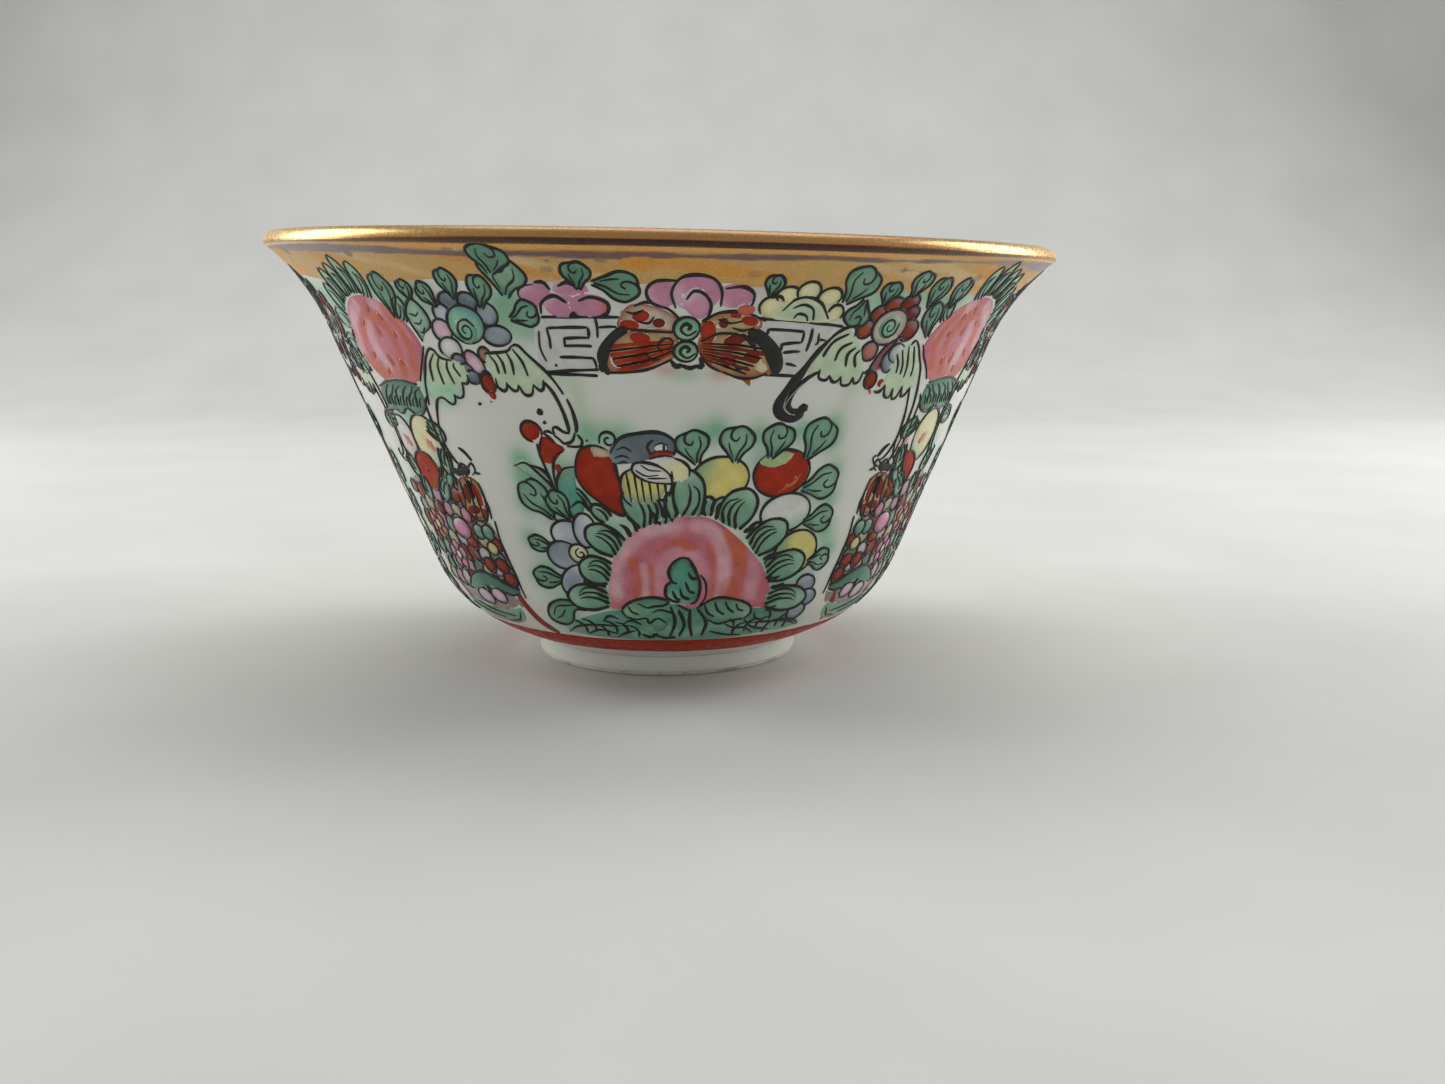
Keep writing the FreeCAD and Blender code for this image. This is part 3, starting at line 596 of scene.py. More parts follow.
def gold_tint(azimuth, s, top):
    """Washed gold: pale and deep clouds, small blots, and wandering streaks of lustre, dark at the front and
    lilac grey elsewhere, where its lighter tone is a painted reflection.
    """
    colour = np.tile(np.array(OCHRE), (len(azimuth), 1))
    colour = blend(colour, DEEP_OCHRE, 0.8 * smooth((soft_noise(azimuth, s, 5) - 0.15) / 0.22))
    colour = blend(colour, PALE_OCHRE, 0.7 * smooth((soft_noise(azimuth, s, 6) - 0.15) / 0.5))
    below = top - s
    front = smooth(2.0 * np.cos(azimuth) - 1.0)
    low = 0.95 + 0.75 * front + 0.35 * soft_noise(azimuth, 0 * s, 7)
    low = low + 0.12 * soft_noise(azimuth * 3, s * 2.0, 10)
    thick = np.clip(0.72 - 0.25 * front + 0.40 * soft_noise(azimuth, 0 * s, 8), 0.0, 1.2)
    streak = smooth((thick - np.abs(below - low)) / 0.22)
    wisp_low = 2.7 + 0.8 * soft_noise(azimuth, 0 * s, 13)
    wisp = smooth((0.30 * soft_noise(azimuth, s * 0.3, 14) - np.abs(below - wisp_low)) / 0.16)
    # Away from the front the lustre is lighter: a painted reflection.
    lustre = blend(np.tile(np.array(SIDE_LUSTRE_PAINTED_REFLECTION), (len(azimuth), 1)), LUSTRE, front)
    colour = blend(colour, LIP_OCHRE, front * smooth((1.15 - below) / 0.2))
    colour = blend(colour, lustre, streak)
    colour = blend(colour, lustre, 0.6 * wisp)
    for spot in range(GOLD_BLOTS):
        source = random.Random(100 + spot)
        middle, height = source.uniform(0, 2 * math.pi), source.uniform(0.8, 4.4)
        size = source.uniform(0.12, 0.6)
        turned = (azimuth - middle + math.pi) % (2 * math.pi) - math.pi
        away = np.hypot(turned * GOLD_RADIUS / BLOT_STRETCH, below - height)
        colour = blend(colour, BLOT, source.uniform(0.4, 0.8) * smooth((size - away) / 0.18 + 0.5))
    sideways = (azimuth + 0.045 + math.pi) % (2 * math.pi) - math.pi
    blot = np.hypot(sideways * GOLD_RADIUS / 2.6, (below - 2.9) / 0.9) + 0.3 * soft_noise(azimuth * 2, s, 31)
    colour = blend(colour, DEEP_OCHRE, smooth((1.0 - blot) / 0.12))
    return np.concatenate([colour, np.ones((len(colour), 1))], 1)


def build_gold_band():
    """The gold wash outside. Its lower edge wanders where the brush went round the flowers."""
    columns = AROUND * 3
    turn = np.arange(columns) * 2 * math.pi / columns
    low = np.interp(GOLD_BAND_LOW, LINE.z, LINE.s) + 0.75 * soft_noise(turn, 0 * turn, 9)
    low = low + 0.25 * soft_noise(turn * 3, 0 * turn, 19)
    points, tints, count = [], [], 26
    for row in range(count):
        share = row / (count - 1)
        s = low + (LINE.length - low) * share
        lift = np.full_like(turn, 0.008 if row == 0 else 0.035)
        points.append(on_line(turn, s, lift))
        tints.append(gold_tint(turn, s, LINE.length))
    make_piece("gold_wash_outside", np.concatenate(points), ring_faces(count, columns), MATERIALS["gold"],
               np.concatenate(tints), ["outer_gold_band"])


def build_inner_gold():
    start = np.interp(GOLD_BAND_LOW + 0.4, LINE.z, LINE.s)
    low = start + 0.12 * soft_noise(TURN, 0 * TURN, 12)
    points, tints, count = [], [], 16
    for row in range(count):
        s = LINE.length + (low - LINE.length) * row / (count - 1)
        lift = np.full_like(TURN, -WALL - (0.01 if row == count - 1 else 0.04))
        points.append(on_line(TURN, s, lift))
        tints.append(gold_tint(TURN + 1.7, s, LINE.length))
    make_piece("gold_wash_inside", np.concatenate(points), ring_faces(count, AROUND), MATERIALS["gold"],
               np.concatenate(tints), ["inner_gold_band"])


def build_foot_line():
    """The iron red line: one turn of a loaded brush, deeper where it overlaps."""
    turn = np.arange(AROUND * 2) * math.pi / AROUND
    low = 3.95 + 0.14 * soft_noise(turn, 0 * turn, 21)
    high = 9.6 + 0.2 * soft_noise(turn, 0 * turn, 22)
    points, tints, count = [], [], 16
    for row in range(count):
        share = row / (count - 1)
        s = low + (high - low) * share
        lift = 0.01 if row in (0, count - 1) else 0.05
        points.append(on_line(turn, s, np.full_like(turn, lift)))
        thin = smooth((soft_noise(turn, s * 2.2, 23) - 0.2) / 0.9)
        colour = blend(np.tile(np.array([0.50, 0.030, 0.012]), (len(turn), 1)), (0.62, 0.085, 0.035),
                       0.5 * thin)
        colour = colour * (1.0 - 0.3 * (abs(share - 0.5) * 2) ** 6)
        tints.append(np.concatenate([colour, np.ones((len(colour), 1))], 1))
    make_piece("iron_red_foot_line", np.concatenate(points), ring_faces(count, len(turn)), MATERIALS["red"],
               np.concatenate(tints), ["foot_line"])


# ---------------------------------------------------------------- painting tools

FRONT = 1.2
# Millimetres off the glaze: of a patch, of each later layer, of a patch's rim and across an ink line.
FILL_LIFT = 0.03
ORDER_LIFT = 0.011
RIM_LIFT = -0.02
INK_LIFTS = np.array([-0.02, 0.10, 0.14, 0.10, -0.02])
# Where paint goes that a later patch hides, and the five places across an ink line.
SUNK = -0.05
INK_OFFSETS = np.array([-1.0, -0.78, 0.0, 0.78, 1.0])

PINK = (0.66, 0.19, 0.255)
PALE_PINK = (0.84, 0.50, 0.54)
DEEP_PINK = (0.54, 0.10, 0.16)
ORANGE = (0.62, 0.11, 0.03)
IRON_RED = (0.45, 0.040, 0.016)
BROWN_RED = (0.22, 0.030, 0.018)
YELLOW = (0.80, 0.70, 0.20)
PALE_YELLOW = (0.84, 0.79, 0.45)
LEAF = (0.16, 0.37, 0.24)
DEEP_LEAF = (0.055, 0.20, 0.13)
PALE_LEAF = (0.38, 0.60, 0.42)
HAZE_GREEN = (0.30, 0.66, 0.46)
BRACKET = (0.56, 0.70, 0.46)
LILAC = (0.60, 0.24, 0.37)
PALE_LILAC = (0.78, 0.54, 0.64)
GREY_BLUE = (0.30, 0.36, 0.42)
SLATE = (0.11, 0.17, 0.22)
PALE_BLUE = (0.52, 0.56, 0.62)
WHITE = (0.78, 0.78, 0.73)
OLIVE = (0.50, 0.44, 0.20)
INK = (0.016, 0.014, 0.013)

# Every ink line is drawn this much wider than its call says. Curves are refined to these gaps.
LINE_WEIGHT = 1.15
INK_GAP = 0.28
STROKE_GAP = 0.6


def curve_through(points, closed, gap):
    """A smooth curve through points in millimetres, given again at even gaps."""
    points = np.asarray(points, float)
    if closed:
        around = np.concatenate([points[-1:], points, points[:2]])
    else:
        around = np.concatenate([2 * points[:1] - points[1:2], points, 2 * points[-1:] - points[-2:-1]])
    share = np.linspace(0, 1, 12, endpoint=False)[:, None]
    fine = []
    for a, b, c, d in zip(around, around[1:], around[2:], around[3:]):
        fine.append(0.5 * (2 * b + (c - a) * share + (2 * a - 5 * b + 4 * c - d) * share ** 2
                           + (3 * b - a - 3 * c + d) * share ** 3))
    fine.append(points[:1] if closed else points[-1:])
    fine = np.concatenate(fine)
    run = np.concatenate([[0.0], np.cumsum(np.hypot(*np.diff(fine, axis=0).T))])
    at = np.linspace(0.0, run[-1], max(4, round(run[-1] / gap) + 1))
    even = np.stack([np.interp(at, run, fine[:, 0]), np.interp(at, run, fine[:, 1])], -1)
    return even[:-1] if closed else even


def distance_to(points, line):
    """How far each point is from a line of short straight runs."""
    best = np.full(len(points), 1e9)
    for a, b in zip(line, line[1:]):
        way = b - a
        share = np.clip(((points - a) @ way) / max(way @ way, 1e-9), 0.0, 1.0)
        best = np.minimum(best, np.hypot(*(points - a - share[:, None] * way).T))
    return best


def inside(points, outline):
    """Which points lie inside a closed outline."""
    x, y = points.T
    hit = np.zeros(len(points), bool)
    for (ax, ay), (bx, by) in zip(outline, np.roll(outline, -1, 0)):
        if ay != by:
            hit ^= ((ay > y) != (by > y)) & (x < ax + (y - ay) * (bx - ax) / (by - ay))
    return hit


def oval(a, z, wide, tall, tilt=0.0):
    """Points of an oval. wide and tall are half sizes in degrees of azimuth and in millimetres."""
    span = span_at(z)
    points = []
    for step in range(10):
        angle = rad(36 * step)
        p, q = wide * span * math.cos(angle), tall * math.sin(angle)
        points.append((a + (p * math.cos(rad(tilt)) - q * math.sin(rad(tilt))) / span,
                       z + p * math.sin(rad(tilt)) + q * math.cos(rad(tilt))))
    return points


def local(a, z, toward):
    """Turns millimetres along and across a direction at a place into azimuth and height."""
    span, c, s = span_at(z), math.cos(rad(toward)), math.sin(rad(toward))
    return lambda *pairs: [(a + (p * c - q * s) / span, z + p * s + q * c) for p, q in pairs]


def wash(middle, edge=None, drift=None, toward=90.0, reach=1.0, strength=1.0):
    """A colour field over a patch: from middle to edge, and drifting to another colour on one side."""
    middle = np.array(middle)
    edge = middle * 0.72 if edge is None else np.array(edge)

    def colours(u, v, rim):
        share = (rim ** 4)[:, None]
        colour = middle * (1 - share) + edge * share
        if drift is not None:
            side = u * math.cos(rad(toward)) + v * math.sin(rad(toward))
            share = strength * smooth((side - 0.9 + reach) / reach)[:, None]
            colour = colour * (1 - share) + np.array(drift) * share
        return colour
    return colours


# Each kind of painting: its material and the record's slot.
GROUPS = {
    "peony": ("rose", "rose_enamel"),
    "peony_leaves": ("green", "green_enamel"),
    "spray_leaves": ("green", "green_enamel"),
    "base_leaves": ("green", "green_enamel"),
    "fruits": ("yellow", "yellow_enamel"),
    "red_fruits": ("red", "iron_red_enamel"),
    "bird": ("blue", "blue_enamel"),
    "blue_flowers": ("blue", "blue_enamel"),
    "collar_leaves": ("green", "green_enamel"),
    "collar_blossoms": ("lilac", "lilac_enamel"),
    "bracket_wings": ("pale_green", "pale_green_enamel"),
    "butterfly": ("red", "iron_red_enamel"),
    "key_ground": ("white", "white_glaze"),
    "border": ("red", "iron_red_enamel"),
    "blossoms": ("lilac", "lilac_enamel"),
    "drawing": ("black", "black_outline"),
    "collar_drawing": ("black", "black_outline"),
}


class Painter:
    """Paints one panel or band. Shapes are given by azimuth and height as they are at the front."""

    def __init__(self, prefix, turn, squeeze, mirror, pivot=FRONT):
        self.prefix, self.turn, self.squeeze, self.mirror, self.pivot = prefix, turn, squeeze, mirror, pivot
        self.groups = {}
        self.pen = "drawing"
        self.laid = []
        self.chance = random.Random(prefix)

    def azimuth(self, a):
        return self.pivot + self.turn + (a - self.pivot) * self.squeeze * self.mirror

    def put(self, group, flat, span, lifts, tints, faces):
        """Adds a mesh given in flat millimetres."""
        points, colours, polygons, count = self.groups.setdefault(group, ([], [], [], [0]))
        place = flat / [span, 1.0]
        points.append(on_wall(self.azimuth(place[:, 0]), flat[:, 1], lifts))
        self.laid.append((points, len(points) - 1, place, place.min(0), place.max(0)))
        colours.append(np.concatenate([tints, np.ones((len(tints), 1))], 1))
        step = -1 if self.mirror < 0 else 1
        polygons.extend([tuple(index + count[0] for index in face[::step]) for face in faces])
        count[0] += len(flat)

    def cover(self, outline):
        """Sinks what was painted before inside an outline, so that the newer patch hides it."""
        low, high = outline.min(0), outline.max(0)
        for points, index, place, least, most in self.laid:
            if (least < high).all() and (most > low).all():
                hidden = inside(place, outline)
                if hidden.any():
                    points[index][hidden] = on_wall(self.azimuth(place[hidden, 0]), place[hidden, 1], SUNK)

    def fill(self, group, outline, colours, order=0, strokes=(), gap=0.5, lift=0.02):
        """A patch of enamel inside an outline, a little thicker in its middle."""
        span = span_at(np.mean([z for _, z in outline]))
        rim = curve_through([(a * span, z) for a, z in outline], True, gap)
        centre = rim.mean(0)
        rings = max(3, round(np.hypot(*(rim - centre).T).max() / gap))
        scales = np.concatenate([[1.0, 0.96], np.linspace(0.96, 0.0, rings)[1:-1]])
        flat = np.concatenate([centre + (rim - centre) * scale for scale in scales] + [centre[None]])
        rims = np.concatenate([np.full(len(rim), scale) for scale in scales] + [[0.0]])
        half = np.maximum(np.abs(rim - centre).max(0), 0.1)
        u, v = ((flat - centre) / half).T
        tints = colours(u, v, rims)
        for line, width, colour, strength, soft in strokes:
            line = curve_through([(a * span, z) for a, z in line], False, STROKE_GAP)
            uneven = 0.82 + 0.18 * np.sin(flat[:, 0] * 0.8 + flat[:, 1] * 1.1 + 5 * width)
            share = (strength * uneven * smooth(1 - (distance_to(flat, line) - width / 2) / soft))[:, None]
            tints = tints * (1 - share) + np.array(colour) * share
        shade = 1 + 0.07 * np.sin(flat[:, 0] * 1.7 + order) * np.sin(flat[:, 1] * 2.1 + flat[:, 0] * 0.6)
        lifts = FILL_LIFT + ORDER_LIFT * order + lift * (1 - rims ** 2) * self.chance.uniform(0.6, 1.0)
        lifts[:len(rim)] = RIM_LIFT
        count, faces = len(rim), []
        for ring in range(len(scales) - 1):
            for index in range(count):
                following = (index + 1) % count
                faces.append((ring * count + index, ring * count + following,
                              (ring + 1) * count + following, (ring + 1) * count + index))
        last, tip = (len(scales) - 1) * count, len(scales) * count
        faces += [(last + index, last + (index + 1) % count, tip) for index in range(count)]
        area = np.cross(rim, np.roll(rim, -1, 0)).sum()
        if area < 0:
            faces = [face[::-1] for face in faces]
        self.cover(rim / [span, 1.0])
        self.put(group, flat, span, lifts, tints * shade[:, None], faces)

    def ink(self, points, width=0.36, start=0.6, end=0.6, colour=INK, group=None, closed=False, lift=0.0):
        """A brush line whose width swells from start to its full width and on to end."""
        span = span_at(np.mean([z for _, z in points]))
        line = curve_through([(a * span, z) for a, z in points], closed, INK_GAP)
        if closed:
            line = np.concatenate([line, line[:1]])
        along = np.gradient(line, axis=0)
        along /= np.maximum(np.hypot(*along.T), 1e-9)[:, None]
        across = np.stack([-along[:, 1], along[:, 0]], -1)
        share = np.linspace(0, 1, len(line))
        wobble = 1 + 0.14 * np.sin(share * len(line) * 0.45 + self.chance.uniform(0, 7))
        half = LINE_WEIGHT * width / 2 * np.interp(share, [0, 0.45, 1], [start, 1, end]) * wobble
        if not closed:
            run = np.concatenate([[0.0], np.cumsum(np.hypot(*np.diff(line, axis=0).T))])
            for away in (run, run[-1] - run):
                near = np.clip((away + 0.03) / np.maximum(half, 0.05), 0, 1)
                half = half * np.sqrt(np.clip(1 - (1 - near) ** 2, 0, 1))
        flat = (line[:, None] + across[:, None] * (half[:, None] * INK_OFFSETS)[..., None]).reshape(-1, 2)
        lifts = np.tile(INK_LIFTS + lift, len(line))
        faces = []
        for row in range(len(line) - 1):
            for column in range(4):
                low = row * 5 + column
                faces.append((low, low + 5, low + 6, low + 1))
        tone = np.array(colour) * (1 + 0.5 * np.sin(share * 9 + len(line))[:, None] * 0.4)
        self.put(group or self.pen, flat, span, lifts, np.repeat(tone, 5, 0), faces)

    def lines(self, width, *curves, **style):
        for curve in curves:
            self.ink(curve, width, **style)

    def haze(self, *spots, colour=HAZE_GREEN, strength=0.6, width=2.6, rise=2.6):
        for a, z in spots:
            HAZES.append((self.azimuth(a), z, width, rise, colour, strength))

    def make(self):
        for group, (points, colours, faces, _) in self.groups.items():
            material, slot = GROUPS[group]
            make_piece(f"{self.prefix}_{group}", np.concatenate(points), faces, MATERIALS[material],
                       np.concatenate(colours), REPLACED.pop(group, ()))


# The CAD nodes that the painting stands for, taken once by the first piece of their kind.
REPLACED = {
    "peony": ("centre_peonies", "band_peonies"),
    "peony_leaves": ("peony_leaf_rings",),
    "spray_leaves": ("panel_sprays", "band_leaves"),
    "base_leaves": ("peony_base_leaves",),
    "fruits": ("panel_fruits", "band_fruits"),
    "bird": ("panel_birds",),
    "blue_flowers": ("grape_clusters",),
    "collar_leaves": ("collar_leaves",),
    "collar_blossoms": ("collar_blossoms", "band_blossoms"),
    "bracket_wings": ("wing_brackets",),
    "butterfly": ("butterflies", "band_butterflies"),
    "border": ("panel_borders", "bracket_drops"),
    "drawing": ("bracket_frames",),
    "collar_drawing": ("key_bands",),
}

# ---------------------------------------------------------------- motifs


def spiral(paint, a, z, radius, turns, start=0.0, width=0.3, hand=1.0):
    """A spiral line that winds inwards."""
    span, points, count = span_at(z), [], max(5, round(turns * 7))
    for step in range(count + 1):
        share = step / count
        angle = rad(start) + hand * 2 * math.pi * turns * share
        reach = radius * (1 - 0.82 * share)
        points.append((a + reach * math.cos(angle) / span, z + reach * math.sin(angle)))
    paint.ink(points, width)


def ring_leaf(paint, a, z, toward, length, width, fingers=3, group="peony_leaves", hand=1.0, line=1.0):
    """A round-headed leaf that grips the peony. Its curved fingers end in blots on the peony's side."""
    at = local(a, z, toward)
    l, w, back = 0.56 * length, 0.52 * width * hand, -0.05 * length

    def place(*pairs):
        return at(*[(back + p * l, q * w) for p, q in pairs])

    tone = paint.chance.uniform(0.15, 0.6)
    middle = tuple(x * (1 - tone) + y * tone for x, y in zip(LEAF, PALE_LEAF))
    outline = place((-1, 0.1), (-0.78, 0.72), (-0.2, 1), (0.5, 0.92), (0.98, 0.66), (1.0, -0.5),
                    (0.5, -0.86), (-0.2, -1), (-0.8, -0.62))
    paint.fill(group, outline, wash(middle, LEAF, PALE_LEAF, toward + 180, 0.9, 0.8), 1)
    paint.ink(place((1.0, 0.8), (0.3, 1.0), (-0.5, 0.88), (-1.02, 0.1), (-0.72, -0.74), (0.1, -1.02),
                    (0.95, -0.74)), 0.34 * line, 1.3, 1.3)
    for finger in range(fingers):
        q = -0.62 + 1.24 * (finger + 0.5) / fingers
        start = -0.55 + 0.35 * abs(q) + 0.1 * (finger % 2)
        paint.ink(place((start, 0.5 * q + 0.10), (-0.05, 0.85 * q + 0.36), (0.5, q + 0.30), (1.0, q - 0.12)),
                  0.32 * line, 0.35, 1.4)


def curl_leaf(paint, a, z, toward, length, width, group="spray_leaves", order=1, hand=1.0, deep=0.0):
    """A rounded leaf of two lobes, one curling over the other. toward points to its stem."""
    at = local(a, z, toward)
    l, w = 0.58 * length, 0.56 * width * hand

    def place(*pairs):
        return at(*[(p * l, q * w) for p, q in pairs])

    tone = paint.chance.uniform(0.2, 0.6)
    middle = np.array(LEAF) * (1 - tone) + np.array(PALE_LEAF) * tone
    middle = middle * (1 - deep) + np.array(DEEP_LEAF) * deep
    outline = place((1, 0.1), (0.5, 0.5), (0.05, 0.9), (-0.5, 0.95), (-0.98, 0.3), (-0.92, -0.35),
                    (-0.6, -0.92), (0, -0.96), (0.55, -0.45))
    paint.fill(group, outline, wash(middle, LEAF, DEEP_LEAF, toward, 0.7, 0.6), order)
    paint.ink(place((1.05, 0.25), (0.5, 0.5), (0.05, 0.92), (-0.5, 0.98), (-1.0, 0.3), (-0.86, -0.3),
                    (-0.4, -0.42), (-0.18, -0.1), (-0.42, 0.1)), 0.33, 0.8, 0.7)
    paint.ink(place((-0.96, -0.1), (-0.74, -0.86), (-0.1, -1.02), (0.5, -0.5), (1.05, 0.0)), 0.33, 0.8, 0.9)
    paint.ink(place((-0.62, 0.45), (-0.1, 0.5), (0.45, 0.2), (0.95, 0.1)), 0.27, 0.4, 0.8)
    paint.ink(place((-0.1, -0.5), (0.3, -0.35), (0.7, -0.1)), 0.24, 0.5, 0.5)


def fruit(paint, a, z, wide, tall, colour, drift=None, toward=200.0, order=2, group="fruits", tilt=0.0,
          strength=0.85):
    outline = oval(a, z, wide, tall, tilt)
    edge = tuple(0.86 * value for value in colour)
    paint.fill(group, outline, wash(colour, edge, drift, toward, 0.9, strength), order, lift=0.03)
    paint.ink(oval(a, z, wide + 0.15, tall + 0.1, tilt), 0.36, closed=True)


def petal(paint, a, z, wide, tall, colour, drift=None, toward=90.0, group="blossoms", order=2, tilt=0.0,
          line=0.3):
    paint.fill(group, oval(a, z, wide, tall, tilt), wash(colour, None, drift, toward, 0.8, 0.8), order)
    paint.ink(oval(a, z, wide + 0.1, tall + 0.06, tilt), line, closed=True)


def little_flower(paint, a, z, size, colour, heart, petals):
    """A small blossom: round petals about a heart."""
    span = span_at(z)
    for index in range(petals):
        angle = rad(90.0 + 360 * index / petals)
        petal(paint, a + 0.62 * size * math.cos(angle) / span, z + 0.62 * size * math.sin(angle),
              0.42 * size / span, 0.42 * size, colour, line=0.24)
    petal(paint, a, z, 0.32 * size / span, 0.32 * size, heart, order=3, line=0.22)


# ---------------------------------------------------------------- the lower spray of a panel


def centre_peony(paint):
    """The big peony that rises from the foot: concentric petals brushed in pink and orange."""
    outline = [(-13.2, 12), (-12.8, 15), (-11.3, 18.2), (-8.6, 21), (-4.5, 23), (0, 24), (4.5, 24.3),
               (9, 23.4), (13, 21.6), (17, 19.3), (20.5, 17), (22.8, 14.6), (24.2, 11.4), (16, 10.4),
               (4, 10.2), (-7, 10.8)]
    strokes = [
        ([(-12.5, 12.5), (-11.8, 16), (-9.5, 19.6), (-5, 22.3), (1, 23.4)], 0.6, PALE_PINK, 0.5, 1.3),
        ([(-10.8, 14), (-10, 17), (-7.6, 19.8), (-3.5, 21.8), (2, 22.6)], 0.6, PALE_PINK, 0.75, 1.2),
        ([(-8.4, 14.8), (-7.6, 17.4), (-5.2, 19.4), (-1.5, 20.7), (2.5, 21.4), (6.5, 20.6), (8.4, 18)],
         0.8, DEEP_PINK, 0.5, 1.0),
        ([(-2, 14.4), (-1.4, 17), (0.6, 18.8), (3, 19.4), (5.6, 18.6), (7.2, 16.4)], 0.6, PALE_PINK, 0.4,
         1.1),
        ([(-7.0, 18.2), (-6.1, 16), (-6.2, 13)], 0.5, ORANGE, 0.9, 0.8),
        ([(-3.4, 17.2), (-3.3, 15), (-3.6, 13)], 0.3, ORANGE, 0.85, 0.5),
        ([(-4.9, 17.6), (-4.6, 15), (-4.9, 13)], 0.3, PALE_PINK, 0.7, 0.6),
        ([(-1.6, 19.6), (0.6, 20.5), (3, 20.7), (5.2, 20.0)], 0.4, ORANGE, 0.85, 0.5),
        ([(2.8, 20.5), (3.8, 19.9)], 0.5, ORANGE, 0.8, 0.4),
        ([(8.4, 20), (9.6, 17.8), (9.9, 15), (9.2, 12.8)], 0.25, ORANGE, 0.7, 0.7),
        ([(5.4, 22.8), (8.8, 21.8), (11.2, 19), (11.8, 15.6), (11.4, 12.8)], 0.6, PALE_PINK, 0.85, 1.0),
        ([(10.4, 23.0), (12.4, 22)], 0.3, IRON_RED, 0.7, 0.5),
        ([(12.4, 21.8), (14.2, 19.6), (15, 17.2), (14.8, 14.8), (13.8, 12.6)], 1.1, ORANGE, 0.92, 0.7),
        ([(13.0, 14.8), (13.2, 12.6)], 1.2, ORANGE, 0.6, 1.0),
        ([(17.6, 19), (18.6, 16.4), (18.4, 13.4)], 0.5, PALE_PINK, 0.45, 1.1),
        ([(23.4, 12.2), (19.5, 11.2)], 0.6, ORANGE, 0.35, 0.8),
        ([(-12.6, 12.1), (-9.5, 11.4)], 0.8, ORANGE, 0.45, 0.8)]
    paint.fill("peony", outline, wash(PINK, DEEP_PINK), 0, strokes, gap=0.28, lift=0.03)


def peony_heart_leaf(paint):
    paint.fill("base_leaves",
               [(3, 18.8), (4.6, 17.8), (6, 16.4), (6.8, 14.8), (6.2, 12.9), (3.4, 12.4), (0.4, 12.8),
                (-0.2, 14.2), (0.5, 15.4), (0.3, 16.5), (1.2, 17.8)],
               wash((0.10, 0.38, 0.27), DEEP_LEAF, PALE_LEAF, 250, 0.7, 0.7), 3)
    paint.lines(0.46, [(2.6, 18.7), (4.2, 18.5), (5.8, 16.9), (6.9, 15), (6.4, 13), (5, 12.5)],
                [(2.8, 18.7), (1.2, 18.1), (0.2, 16.9), (0.9, 15.6), (2, 15.3)],
                [(0.9, 15.6), (-0.3, 15), (-0.4, 13.7), (1.2, 13), (2.8, 12.9)])
    paint.lines(0.42, [(4.2, 16.8), (5, 16), (6.2, 15.9)], [(3.7, 15.6), (4.6, 14.3), (5.9, 14)],
                [(2.6, 14.8), (3.2, 13.6), (4.8, 13.2)], [(1, 14.4), (1.8, 13.4), (2.8, 13.2)], start=0.4,
                end=1.1)
    paint.ink([(6.8, 16.4), (8.1, 15.2), (8.2, 13.4), (7, 12.2)], 0.34)


PEONY_MIDDLE = (4.5, 12.5)


def peony_leaf_ring(paint):
    """Leaves all round the peony. Each is given by its place and size, and grips inwards."""
    leaves = [(-12.3, 24.2, 2.2, 1.6, 1), (-0.9, 24.4, 2.8, 1.8, 1), (1.2, 25.2, 2.8, 1.8, 1),
              (7.2, 25.0, 2.1, 1.7, 1), (9.8, 25.0, 1.9, 1.8, 1), (17.4, 21.8, 1.8, 1.7, 1),
              (21.9, 17.7, 1.9, 1.4, 1), (-17.2, 13.3, 4.6, 3.3, 3), (-14.8, 16.9, 3.4, 3.4, 3),
              (-12.2, 20.9, 4.0, 3.3, 3), (-4.6, 25.1, 4.6, 3.9, 3), (3.9, 26.5, 4.9, 3.5, 2),
              (13.1, 24.6, 4.3, 4.1, 3), (20.0, 20.9, 4.4, 3.7, 3), (25.2, 16.9, 4.6, 3.7, 3),
              (27.6, 12.4, 5.2, 3.2, 3)]
    for a, z, length, width, fingers in leaves:
        across = (PEONY_MIDDLE[0] - a) * span_at(z)
        toward = math.degrees(math.atan2(PEONY_MIDDLE[1] + 1.5 - z, across))
        ring_leaf(paint, a, z, toward, length, width, fingers, hand=1.0 if a < PEONY_MIDDLE[0] else -1.0)
    paint.haze((-14.2, 17), (-11, 21), (-6, 23.6), (0, 25), (6, 25.2), (11.6, 24), (17, 21.4),
               (21.6, 18.4), (24.6, 14.6), strength=0.8, width=1.7, rise=1.4)
    for a, z in ((-13.5, 14.2), (-13.3, 13.4), (-12.9, 12.7), (23.8, 14.0), (24.0, 12.2), (23.4, 11.0)):
        side = -1.0 if a < 0 else 1.0
        paint.ink([(a + 2.4 * side, z + 0.5), (a + 1.2 * side, z + 0.2), (a, z - 0.1)], 0.46, 0.3, 1.3)
    for a, z in ((-7.8, 21.9), (-6.4, 22.6), (-2.6, 23.6), (15.6, 22.2), (21.2, 18.3), (22.6, 15.6)):
        across = (PEONY_MIDDLE[0] - a) * span_at(z)
        at = local(a, z, math.degrees(math.atan2(14.0 - z, across)))
        paint.lines(0.46, at((-1.2, 0.2), (-0.3, 0.35), (0.7, 0.0)), start=0.3, end=1.3)


